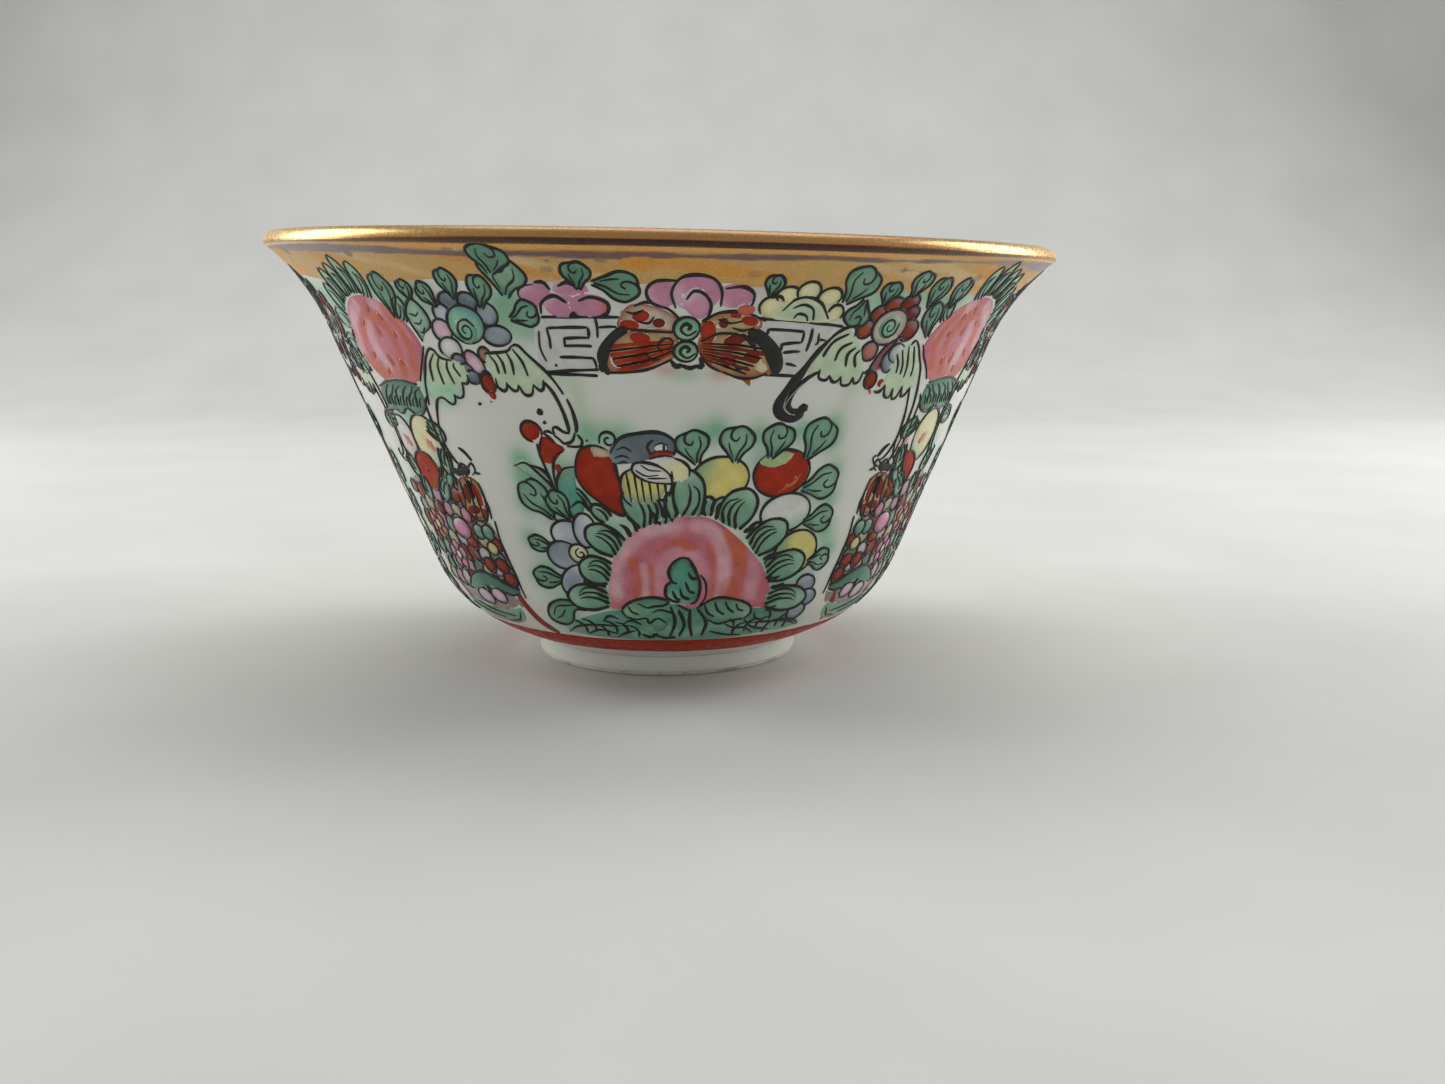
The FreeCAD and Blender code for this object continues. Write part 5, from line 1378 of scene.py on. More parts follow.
def collar_flowers(paint):
    """Lilac blossoms and the scalloped yellow flower under the gold, then the blue and the red flowers."""
    for a, z, wide, tall, drift in ((-17, 49.2, 2.3, 1.4, PALE_LILAC), (-12, 49.6, 2.4, 1.2, PALE_LILAC),
                                    (-13.7, 48, 2.4, 1.3, PALE_LILAC), (-9.8, 48, 2.8, 1.2, ORANGE)):
        toward = 0 if drift == ORANGE else 130
        paint.fill("collar_blossoms", oval(a, z, wide, tall), wash(LILAC, LILAC, drift, toward, 0.7, 0.75), 1)
    paint.lines(0.42, [(-16.6, 50.4), (-15.4, 50.4), (-14.7, 49.6)],
                [(-13.6, 50), (-12.2, 50.4), (-10.6, 49.7)],
                [(-16.7, 47.1), (-16.3, 48.3), (-14.4, 49), (-12.8, 48.3)],
                [(-11.2, 48.5), (-9.4, 48.9), (-7.4, 48.3), (-7.4, 47.3), (-8.4, 46.9)],
                [(-12.7, 46.9), (-12.2, 47.2), (-11.6, 46.9)], start=0.5, end=0.8)
    paint.ink([(-16.8, 50.2), (-18.6, 49.9), (-19.3, 49), (-18, 47.8)], 0.22, 0.5, 0.4)
    for a, z, wide, tall in ((-0.2, 49.2, 2.2, 1.4), (9.2, 49.1, 2.6, 1.3), (4.2, 49.3, 3.2, 1.9)):
        paint.fill("collar_blossoms", oval(a, z, wide, tall),
                   wash(LILAC, LILAC, PALE_LILAC, 200, 0.8, 0.7), 1)
    paint.fill("collar_blossoms",
               [(3, 49.6), (4.6, 49.7), (6, 48.9), (6, 47.4), (5, 46.6), (3.4, 47.2), (2.4, 48.4)],
               wash((0.68, 0.30, 0.44), LILAC, PALE_LILAC, 120), 2)
    paint.lines(0.38, [(1.6, 50.7), (-1, 50.6), (-2.2, 49.6), (-1.6, 48.4), (0.6, 47.7)],
                [(1.6, 47.8), (1, 49.4), (2, 50.9), (4, 51.3), (6.2, 50.9), (7.4, 49.6), (7.5, 48)],
                [(2.9, 48.7), (3.8, 49.6), (5.2, 49.3), (6.2, 48.2), (6, 46.9), (5.2, 46.4)],
                [(7.8, 49.9), (10, 50.1), (11.6, 49.4), (11.7, 48.3), (11.2, 47.9)], end=0.7)
    paint.fill("collar_blossoms", oval(11, 47.6, 1.3, 0.6), wash(ORANGE, DEEP_PINK), 3)
    for a, z, wide, tall in ((14.4, 47.9, 1.7, 1.2), (16.3, 49.2, 1.6, 0.95), (19, 49.6, 1.6, 1.1),
                             (22.3, 49, 1.7, 1.05), (24, 47.2, 1.2, 0.95)):
        paint.fill("fruits", oval(a, z, wide, tall), wash(PALE_YELLOW, (0.62, 0.62, 0.30)), 1)
        paint.ink(oval(a, z, wide, tall)[9:] + oval(a, z, wide, tall)[:7], 0.34)
    paint.fill("fruits", [(14.4, 46.8), (16, 48.3), (19, 49), (22, 48), (23.4, 46.3), (19, 46.3)],
               wash((0.50, 0.66, 0.46), PALE_YELLOW), 2)
    paint.lines(0.36, [(16, 47.5), (17.4, 48.7), (19.2, 49), (21.4, 48.3), (23.2, 46.6)],
                [(17.4, 47.8), (18.8, 48.2), (20.4, 47.7), (20.9, 46.5)],
                [(17.9, 46.7), (18.4, 47.2), (19.6, 47), (20.1, 46.4)],
                [(14, 48.9), (15.2, 49.1), (15.9, 48.6)], start=0.4, end=0.8)


def corner_flower(paint, a, z, petals, colour, accents, hand=1.0):
    """The round flower at a collar's corner: a green spiral heart in a wreath of petals."""
    for (pa, pz, wide, tall), tone in zip(petals, accents):
        petal(paint, pa, pz, wide, tall, tone, tuple(0.5 * (x + y) for x, y in zip(tone, PALE_BLUE)), 60,
              "blue_flowers" if colour == "blue" else "butterfly", 1, line=0.34)
    group = "blue_flowers" if colour == "blue" else "butterfly"
    paint.fill(group, oval(a, z, 3.1, 2.05),
               wash(HAZE_GREEN if colour == "blue" else (0.66, 0.62, 0.50),
                    LEAF if colour == "blue" else (0.5, 0.4, 0.3),
                    (0.12, 0.34, 0.34) if colour == "blue" else None, 50, 0.8, 0.8), 3)
    paint.ink(oval(a, z, 3.1, 2.05), 0.38, closed=True)
    inner = (a - 0.2, z - 0.7) if colour == "blue" else (a, z)
    paint.fill("collar_leaves", oval(inner[0], inner[1], 1.9, 1.4),
               wash((0.22, 0.52, 0.36), LEAF, PALE_LEAF, 90), 4)
    spiral(paint, inner[0], inner[1], 1.35, 1.7, 20, 0.36, hand)


def collar_corners(paint):
    corner_flower(paint, -29, 45.9,
                  [(-30.5, 48.3, 1.7, 1.0), (-27.5, 48.3, 1.5, 0.95), (-25, 47, 1.6, 1.2),
                   (-24.2, 44.7, 2.2, 1.05), (-32.6, 47, 1.4, 1.1), (-33.6, 45.2, 1.7, 1.2),
                   (-33, 43.2, 2, 1.2)], "blue",
                  [SLATE, SLATE, GREY_BLUE, GREY_BLUE, PALE_BLUE, PALE_LILAC, WHITE])
    corner_flower(paint, 34.3, 45.6,
                  [(31.5, 47.1, 1.4, 0.9), (33.3, 48.2, 1.6, 0.75), (36.2, 48.3, 1.5, 0.95),
                   (37.5, 47, 1.4, 0.9), (38.3, 45.2, 1.9, 1.2), (30, 45.4, 1.3, 1.0), (32, 42.9, 1.4, 1.0)],
                  "red",
                  [(0.40, 0.09, 0.035), (0.42, 0.07, 0.03), (0.26, 0.04, 0.02), BROWN_RED,
                   (0.30, 0.05, 0.03), (0.42, 0.09, 0.04), (0.55, 0.22, 0.16)], -1.0)
    paint.fill("butterfly", [(37.4, 44.4), (35.8, 44), (33.8, 42.2), (32.8, 40.9), (34.6, 40.6), (36, 42)],
               wash((0.34, 0.10, 0.12), (0.40, 0.2, 0.22)), 2)
    petal(paint, 36.2, 41.6, 1.3, 1.2, GREY_BLUE, SLATE, 200, "blue_flowers", 3)
    petal(paint, 37.6, 42.6, 1.5, 1.0, PALE_BLUE, WHITE, 30, "blue_flowers", 3)
    paint.lines(0.3, [(37.6, 44.5), (35, 43.4), (33, 41.4), (32.4, 40.4)],
                [(36.8, 44), (35.2, 42.4), (34.4, 41)])
    petal(paint, -29.4, 41.7, 1.3, 1.4, PALE_LILAC, LILAC, 120, "blue_flowers", 3, tilt=30)
    petal(paint, -27.1, 42.6, 1.0, 0.8, (0.42, 0.20, 0.12), None, 90, "blue_flowers", 3)
    for a, z in ((-32.2, 41.9), (-31.4, 40.8), (-30.7, 40)):
        petal(paint, a, z, 1.2, 0.75, SLATE, GREY_BLUE, 90, "blue_flowers", 2, line=0.34)
    for a, z, wide, tall in ((-28.2, 39.3, 1.2, 1.1), (33.5, 39.5, 1.1, 1.0)):
        paint.fill("red_fruits", oval(a, z, wide, tall),
                   wash((0.34, 0.04, 0.02), BROWN_RED, ORANGE, 100, 0.6, 0.4), 3)
        paint.ink(oval(a, z, wide + 0.1, tall), 0.36, closed=True)
    paint.fill("red_fruits", [(-28.8, 38.4), (-27.4, 38.2), (-27.6, 37.5), (-28.4, 37.6)], wash(IRON_RED), 3)
    paint.fill("red_fruits", oval(36, 39.1, 0.8, 0.5), wash(IRON_RED), 3)
    paint.fill("red_fruits", oval(-28.7, 37.2, 0.35, 0.15), wash(ORANGE), 3)
    paint.fill("red_fruits", [(33.6, 38.5), (34.3, 38.3), (34.5, 37.7), (34, 38)], wash(ORANGE), 3)
    paint.lines(0.55, [(-29, 40.4), (-28, 40.7), (-27.2, 40.2)], [(31.8, 40.3), (33, 40.6), (34.2, 40.4)])


def collar_leaves(paint):
    """Oval leaves between the collar's flowers. Some reach over the gold."""
    for a, z, toward, length, width, hand, deep in (
            (-20.7, 51, 250, 3.6, 4.6, 1, 0.1), (-21.6, 52.7, 260, 2.6, 4.0, -1, 0.5),
            (-10.9, 51.1, 265, 2.4, 2.8, 1, 0.7), (-6, 50.1, 170, 4.3, 2.7, 1, 0.5),
            (14, 50.2, 260, 2.0, 1.9, 1, 0.5), (26, 50.2, 250, 3.5, 4.1, -1, 0.2),
            (27.8, 47.2, 80, 2.6, 3.0, 1, 0.5), (-24.9, 49.4, 250, 3.1, 2.4, 1, 0.2),
            (-29.4, 50.2, 270, 2.8, 2.3, 1, 0.3), (-33.9, 49, 300, 2.5, 2.1, 1, 0.0),
            (-37.5, 49.5, 270, 2.0, 1.9, 1, 0.3), (-42.2, 49, 265, 4.2, 3.0, 1, 0.4),
            (-19.3, 47, 200, 3.0, 2.5, -1, 0.1), (31.5, 49.4, 265, 2.2, 2.4, 1, 0.5),
            (36, 50.4, 265, 2.5, 2.6, -1, 0.1), (40.4, 49.5, 260, 3.0, 2.8, 1, 0.5),
            (45.3, 49.4, 265, 3.0, 2.7, -1, 0.5), (42.4, 46.3, 285, 3.6, 2.6, 1, 0.4)):
        if paint.squeeze == 1.0 or abs(a) < 36:
            curl_leaf(paint, a, z, toward, length, width, "collar_leaves", 2, hand, deep)
    paint.fill("collar_leaves",
               [(-37.2, 48.6), (-35.9, 47.4), (-35.6, 45.8), (-37.2, 44.8), (-38.2, 44), (-38.9, 45.8),
                (-39.6, 47)],
               wash(PALE_LEAF, LEAF, LEAF, 270, 0.8, 0.7), 2)
    paint.ink([(-38.2, 43.9), (-39.7, 46.8), (-37.6, 48.6), (-35.8, 47.4), (-35.5, 45.8), (-37.4, 44.8)],
              0.34)
    paint.lines(0.28, [(-38.9, 47), (-37.8, 46.8), (-37, 47.2)], [(-38.6, 46), (-37.6, 45.9), (-36.8, 46.4)],
                [(-38.2, 45), (-37.4, 45), (-36.8, 45.5)])
    paint.haze((-22.6, 48), (-23, 46.2), (-21, 49), (-34, 47.8), (-39.6, 48.6), (-36, 50), (43, 48.4),
               (38.6, 49.2), (29.6, 48.6), (33.4, 49.6), (-19, 45.2), strength=0.75, width=2.4, rise=1.5)
    paint.haze((-14, 50.6), (0, 50.4), (12.6, 49.8), (22, 50.4), (-4, 48.6), colour=(0.72, 0.62, 0.68),
               strength=0.6, width=2.4, rise=1.0)
    paint.haze((12.6, 47.6), (18.4, 45.9), (25, 46.6), colour=(0.55, 0.80, 0.66), strength=0.5, width=2.0,
               rise=0.8)


def ribs(paint, width, sideways, upwards, *ends):
    """Short strokes between two places each, all bowed by the same amount."""
    for a, z, b, y in ends:
        paint.ink([(a, z), ((a + b) / 2 + sideways, (z + y) / 2 + upwards), (b, y)], width, 0.5, 0.9)


def bracket_wings(paint):
    """The two pairs of pale green wings that hold up the collar, with black ribs and scalloped edges."""
    pale = wash(BRACKET, (0.60, 0.72, 0.50), (0.66, 0.74, 0.55), 90, 0.9, 0.5)
    paint.fill("bracket_wings",
               [(-36.8, 43.1), (-38.5, 42.4), (-40.2, 40.4), (-41.6, 38.6), (-40.2, 37.3), (-37, 36.7),
                (-34.6, 37.8), (-32.6, 39.2), (-31.4, 39.8), (-32, 41.4), (-34, 42.2)], pale, 1,
               [([(-41, 38.4), (-38, 37.6), (-35, 38)], 1.2, HAZE_GREEN, 0.7, 1.2)])
    paint.fill("bracket_wings",
               [(-27.4, 42), (-26, 42.9), (-23, 43.1), (-21.6, 43.7), (-19.6, 42.2), (-17.2, 40.2),
                (-18, 39.8), (-20, 38.8), (-22, 38.1), (-24.4, 38.7), (-26.8, 39), (-27.2, 40.6)], pale, 1)
    paint.fill("bracket_wings",
               [(27, 45.4), (24.6, 44), (22, 41.6), (21.6, 40.2), (23.6, 40.4), (26, 39.6), (28.6, 39),
                (31.2, 39.4), (31.6, 40.6), (30.6, 42.8), (29, 44.4)], pale, 1)
    paint.fill("bracket_wings",
               [(40.8, 43.8), (42.6, 42.6), (44.4, 40.2), (45, 38.2), (43.2, 38.2), (41.6, 37.4),
                (39, 37.2), (36.4, 38.2), (36.4, 39.6), (37.4, 41.4), (38.4, 43)], pale, 1)
    paint.lines(0.38, [(-36.4, 43), (-37.6, 43.1), (-39.4, 41.6), (-41.6, 38.9), (-42.6, 36.4)],
                [(-36.6, 43.1), (-35.6, 42.2), (-33.6, 41.9)],
                [(-42.2, 33), (-41.6, 34.8), (-40.2, 37), (-38.6, 37.4), (-37, 36.7), (-36, 37),
                 (-35.7, 37.9)],
                [(-35.8, 37.9), (-35.2, 37.5), (-34, 37.7), (-33.4, 38.6), (-33.3, 39.3)],
                [(-33.3, 39.3), (-32.4, 39.2), (-31.8, 39.7), (-31.7, 40.3)],
                [(-26.6, 40), (-26.6, 39), (-25.8, 38.5), (-25.1, 38.8), (-24.8, 39.6)],
                [(-24.9, 39.4), (-24, 38.6), (-23.2, 38.7), (-22.9, 39.3)],
                [(-22.9, 39.3), (-22.2, 38.2), (-21, 38.2), (-20.4, 39.3)],
                [(-20.4, 39.4), (-19.6, 38.7), (-18.9, 38.9), (-18.6, 39.9)],
                [(-27, 42.8), (-24.6, 42.9), (-23, 43.1), (-22.2, 43.6)],
                [(-22.2, 43.6), (-21.2, 43.7), (-19.8, 42.6), (-18, 41), (-16.6, 39.4), (-15.8, 38.3)])
    ribs(paint, 0.36, -0.5, 0.3, (-36.8, 42.7, -39.4, 39.3), (-36, 42.3, -37.2, 39),
         (-34.6, 41.9, -34.9, 39.1), (-33.4, 41.6, -33.1, 40))
    ribs(paint, 0.36, 0.35, 0.2, (-26.3, 42.6, -25.7, 40.5), (-25, 42.8, -24.6, 40.5),
         (-23.3, 43, -23.2, 40.4), (-22.1, 43.3, -20.9, 40.3))
    paint.lines(0.44, [(-18.7, 39.8), (-17.4, 38.4), (-16.4, 36.4), (-15.9, 34.6), (-15.9, 33.9)],
                [(-15.4, 37.8), (-14.8, 36.4), (-14.5, 34.8), (-14.7, 33.9)], start=0.6, end=0.9)
    paint.lines(0.36, [(-18.4, 33.6), (-18.6, 34.3), (-17.9, 34.5), (-16.9, 34), (-15.8, 33.8)],
                [(-14.9, 33.9), (-15.6, 32.9), (-17, 32.6), (-17.6, 33), (-18.6, 33.6)],
                [(-14.6, 33.7), (-13.9, 33), (-14.4, 32.3), (-16.6, 32.3)],
                [(-20.4, 33.8), (-19.4, 33.2), (-18.6, 32.6)], [(-20.3, 33.9), (-19.4, 34), (-18.7, 33.7)])
    paint.lines(0.4, [(28.6, 45.4), (27.4, 45.7), (25.4, 45), (23, 43)],
                [(28.4, 44.6), (28.6, 45), (28.2, 45.5)])
    paint.ink([(24.8, 44.6), (22.4, 42.4), (20.2, 40.2), (18.3, 38.1), (17.7, 36.7), (18.6, 35.7),
               (20.6, 35.4), (22.2, 36.3)], 1.0, 0.3, 1.15)
    paint.ink([(23.4, 40.7), (21.6, 39.9), (20, 38.6), (19.3, 37.2), (20, 36.3), (21.4, 36.2)], 0.62, 0.5,
              1.0)
    paint.ink([(21.4, 35.9), (22.2, 36.5), (22.7, 36.2)], 1.1, 1.0, 1.0)
    paint.ink([(21, 39.4), (19.4, 37.9), (18.8, 36.8), (19.5, 36), (20.8, 35.8)], 0.13, 0.6, 0.6,
              (0.42, 0.44, 0.42), "bracket_wings", lift=0.05)
    paint.lines(0.38, [(23.6, 41), (23.5, 40.2), (24, 39.8), (25, 39.7), (25.4, 40.3)],
                [(25.4, 40.2), (26.2, 39.5), (27, 39.5), (27.5, 40.1)],
                [(27.5, 40), (28, 39.1), (29.4, 39.1), (29.8, 40)],
                [(29.8, 39.9), (30.4, 39.2), (31.2, 39.5), (31.5, 40.6)])
    ribs(paint, 0.42, -0.5, 0.35, (27.4, 44.9, 23.9, 42.4), (28.4, 43.9, 26, 41.9), (29.3, 43.3, 28, 41.2),
         (30.2, 43, 29.8, 41.1))
    paint.lines(0.38,
                [(40.2, 43.4), (41.2, 43.9), (43, 42.4), (45, 39.5), (46.2, 37), (46.6, 34.6),
                 (46.4, 31.4), (45.2, 29.3), (43.4, 28.6), (41.4, 28.9), (40.2, 29.8), (40.9, 30.1)],
                [(43.4, 38.3), (44.3, 36.6), (45.1, 34.4), (45.1, 32), (43.8, 30.1), (42, 29.3)],
                [(35, 38.2), (35.8, 38), (36.5, 38.2), (37, 38.9)],
                [(37, 38.8), (37.6, 37.6), (38.8, 37.3), (39.1, 38.4)],
                [(39.2, 38.3), (39.6, 37.2), (40.6, 37.2), (41.3, 38.6)],
                [(41.3, 38.5), (41.8, 37.4), (42.8, 37.5), (43.4, 38.4)])
    ribs(paint, 0.36, 0.3, 0.1, (37.8, 42.5, 38.5, 40.2), (38.7, 42.9, 39.6, 40), (39.9, 43.3, 40.7, 39.6),
         (41.1, 43.3, 42.4, 39.7))
    paint.lines(0.38, [(-43.4, 37), (-43.6, 34), (-43, 29.6)],
                [(-42.2, 33.4), (-42, 31), (-40.4, 29.3), (-38.2, 28.6)])
    for a, z, size in ((-20.3, 36.2, 0.75), (-19.8, 35, 0.4), (-31, 36.9, 0.45), (-13.1, 33, 0.25)):
        paint.ink([(a - 0.6 * size, z - 0.15 * size), (a, z), (a + 0.7 * size, z + 0.3 * size)], size, 0.9,
                  0.9)
    paint.haze((-41.4, 38.2), (-38, 37.4), colour=HAZE_GREEN, strength=0.75, width=1.8, rise=1.2)
    paint.haze((-13.4, 37), (-13.6, 39.6), (-13.2, 34.6), (30, 38.6), (-16, 40.2),
               colour=(0.62, 0.80, 0.56), strength=0.5, width=1.1, rise=1.8)


def side_borders(paint):
    """Red-brown wedges at the panel's lower corners. They join the foot line."""
    tint = wash((0.30, 0.045, 0.025), (0.38, 0.07, 0.04))
    paint.fill("border",
               [(-37.2, 13), (-36, 13.5), (-34.6, 11.4), (-32.8, 9.2), (-30.2, 7.3), (-32.4, 7),
                (-35.2, 8.8)], tint, 0)
    paint.fill("border",
               [(43.8, 12.2), (42.8, 12.6), (43.2, 10.6), (45, 8.6), (46.8, 7.4), (47.8, 8.4), (45.4, 10.4)],
               tint, 0)


def paint_panel(prefix, turn, squeeze, mirror, palette):
    paint = Painter(prefix, turn, squeeze, mirror)
    centre_peony(paint)
    base_leaves(paint)
    peony_heart_leaf(paint)
    left_spray(paint)
    grapes(paint)
    buds(paint)
    spray_fruits(paint, palette)
    outer_curls(paint)
    peony_leaf_ring(paint)
    bird(paint)
    side_borders(paint)
    paint.pen = "collar_drawing"
    key_band(paint)
    butterfly(paint)
    collar_flowers(paint)
    collar_corners(paint)
    collar_leaves(paint)
    bracket_wings(paint)
    paint.make()


# ---------------------------------------------------------------- the bands between panels

BAND = -48.5


def band_peony(paint):
    """The round peony at the top of a band, under a crown of leaves."""
    outline = [(-57.4, 43.6), (-56.4, 46.6), (-53, 48.5), (-48.4, 49), (-44.2, 48.2), (-41, 46.4),
               (-38.6, 43.3), (-40, 41.2), (-42.6, 39.3), (-47, 38.5), (-52, 38.6), (-56, 40.6)]
    strokes = [
        ([(-56, 43), (-55, 46), (-51.6, 47.8)], 0.7, PALE_PINK, 0.8, 0.8),
        ([(-46.6, 48.2), (-43.6, 46.8), (-41.6, 44.4)], 0.6, PALE_PINK, 0.7, 0.8),
        ([(-50.6, 45.6), (-50.8, 43.4), (-49.6, 41)], 0.9, PALE_PINK, 0.8, 0.8),
        ([(-44.4, 47.4), (-42.4, 45.4), (-41.6, 43), (-42.6, 40.8)], 0.7, ORANGE, 0.95, 0.6),
        ([(-49, 46.6), (-46, 45.8), (-44.8, 43.2), (-45.8, 40.2)], 0.8, ORANGE, 0.95, 0.6),
        ([(-50.6, 46.6), (-53, 44.8), (-53.8, 42.4), (-52.2, 39.8)], 0.8, ORANGE, 0.8, 0.5),
        ([(-56.6, 41.8), (-54, 39.8), (-50, 39)], 0.8, ORANGE, 0.7, 0.8),
        ([(-48.6, 47.8), (-48.2, 47.2)], 0.7, ORANGE, 1.0, 0.3),
        ([(-48.4, 45.4), (-47.9, 44.6)], 0.6, (0.5, 0.06, 0.03), 1.0, 0.3),
        ([(-48.2, 42), (-47.8, 41.2)], 0.6, (0.5, 0.06, 0.03), 1.0, 0.3),
    ]
    paint.fill("peony", outline, wash(PINK, DEEP_PINK, (0.70, 0.22, 0.16), 270, 0.9, 0.7), 0, strokes,
               gap=0.28, lift=0.03)
    for a, z, tilt in ((-48.5, 47.4, 60), (-46.2, 46.6, -50), (-51.8, 45.8, 50), (-48.2, 44.8, 70),
                       (-44.2, 44.6, -60), (-52.6, 42.2, 60), (-48.0, 41.6, -70), (-45.2, 41.4, -55),
                       (-50.2, 40.2, 60)):
        paint.fill("peony", oval(a, z, 0.75, 0.26, tilt), wash((0.46, 0.06, 0.03), (0.58, 0.14, 0.06)), 2,
                   gap=0.25)
    paint.lines(0.28, [(-38.4, 43.4), (-40.6, 41.2), (-42.6, 39.2)],
                [(-57.2, 45), (-57.9, 42.6), (-56.4, 40)])
    for a, z, toward, length, width in (
            (-58.6, 46.4, -20, 3.0, 2.0), (-57.3, 48.6, -50, 3.2, 2.2), (-54.9, 50, -62, 3.4, 2.2),
            (-52.2, 50.5, -75, 3.2, 2.2), (-49.4, 51, -88, 3.6, 2.1), (-46.6, 50.5, -100, 3.4, 2.2),
            (-59.4, 43.6, 0, 2.6, 1.9), (-58.4, 40.8, 20, 2.6, 1.9), (-40.6, 47.4, 250, 2.4, 1.8)):
        ring_leaf(paint, a, z, toward, length, width, 1 if a < -56 else 2, "collar_leaves", line=0.55)
    paint.haze((-56, 50), (-51, 51), (-46, 50), (-60, 46), (-60, 42), (-41, 48.4), strength=0.75,
               width=2.2, rise=1.8)


def fringed_leaf(paint):
    outline = [(-56, 38.3), (-52, 38.9), (-48, 39.1), (-44, 38.7), (-43.2, 37), (-44.6, 35.6), (-47, 35.1),
               (-49.4, 35.8), (-51.6, 35.1), (-54, 35.5), (-56.2, 34.9), (-56.8, 36.6)]
    paint.fill("spray_leaves", outline, wash(LEAF, DEEP_LEAF, DEEP_LEAF, 100, 0.8, 0.7), 1)
    paint.lines(0.4, [(-56.4, 38.2), (-52, 39), (-48, 39.2), (-43.8, 38.8)],
                [(-56.2, 34.9), (-54, 35.5), (-51.6, 35.1), (-49.4, 35.8), (-47, 35), (-44.4, 35.6),
                 (-42.6, 37.4)])
    for index in range(6):
        a, swing = -54.6 + 1.9 * index, 0.5 * math.sin(2.1 * index)
        paint.ink([(a + 1.7, 38.5), (a + 0.3 + swing, 37.8), (a - 0.6, 36.9 + 0.3 * swing), (a - 0.9, 36.0)],
                  0.38, 0.3, 1.2)
        paint.ink([(a + 0.9, 37.2), (a + 0.2, 36.7), (a, 36.0)], 0.3, 0.4, 0.8)


def band_fruits(paint, fruits):
    for a, z, wide, tall, colour, drift in fruits:
        group = "red_fruits" if colour == IRON_RED else "fruits"
        fruit(paint, a, z, wide, tall, colour, drift, 300, 1, group, 0, 0.7)
        if colour == IRON_RED:
            paint.ink([(a - 0.3, z + 0.1), (a, z), (a + 0.3, z - 0.1)], 0.5, 1, 1)
        else:
            dab = oval(a + 0.4, z - 0.4, 1.5, 0.5, -50)
            paint.fill("fruits", dab, wash((0.68, 0.20, 0.14), (0.74, 0.42, 0.30)), 3, gap=0.35)
    for a, z, toward in ((-45, 27.6, 60), (-43.8, 29.6, 80), (-56.6, 28.4, 120), (-47.6, 25.8, 60),
                         (-57.4, 34.2, 10), (-43.6, 33.2, 150), (-54.6, 25.6, 90)):
        ring_leaf(paint, a, z, toward, 2.8, 2.0, 2, "spray_leaves")
    paint.haze((-45.4, 29), (-56, 30), (-50, 35), (-44.6, 25.6), (-57, 26), strength=0.8, width=2.2, rise=2.2)


def night_moth(paint):
    """The dark winged insect at the panel's edge."""
    paint.ink([(-43, 28.5), (-40.6, 28.2), (-38, 28.9)], 1.2, 0.6, 0.7)
    paint.ink([(-43, 27.6), (-42.6, 26.2), (-41.2, 24.9)], 0.8, 0.9, 0.5)
    paint.lines(0.5, [(-38.9, 31.4), (-37.8, 30.9), (-36.6, 29.9)], start=0.6, end=0.7)
    paint.lines(0.3, [(-38.4, 28.9), (-37, 29.6), (-36.6, 28.7), (-37.6, 28.1)],
                [(-36.8, 28.4), (-35.6, 28.3)], [(-41, 28.6), (-40, 29.4), (-38.6, 29.2)])
    paint.fill("butterfly",
               [(-42, 27.4), (-39, 27.9), (-36.9, 27.2), (-36.5, 25.2), (-37.4, 22.8), (-40.6, 22.4),
                (-43, 23.6), (-43.4, 25.8)],
               wash(OLIVE, BROWN_RED), 1)
    for a, z, wide, tall, tilt, colour in ((-40.9, 25.6, 0.8, 1.4, -10, BROWN_RED),
                                           (-39.4, 26.2, 0.6, 1.3, 0, INK),
                                           (-38.1, 25.6, 0.8, 1.5, 8, IRON_RED),
                                           (-40.4, 23.6, 1.8, 0.6, 8, BROWN_RED),
                                           (-37.8, 23.4, 0.9, 0.5, 0, IRON_RED),
                                           (-42.4, 25, 0.5, 0.9, 0, IRON_RED)):
        paint.fill("butterfly", oval(a, z, wide, tall, tilt), wash(colour, colour), 3, gap=0.35)
    paint.lines(0.34, [(-41.8, 27.2), (-42, 25), (-43, 23.4)], [(-40, 27.6), (-39.8, 25), (-40.6, 22.4)],
                [(-38.6, 27.6), (-38.4, 25), (-38.4, 22.4)],
                [(-36.9, 27.2), (-36.5, 25.2), (-37.4, 22.8), (-40.6, 22.3), (-43, 23.5)])


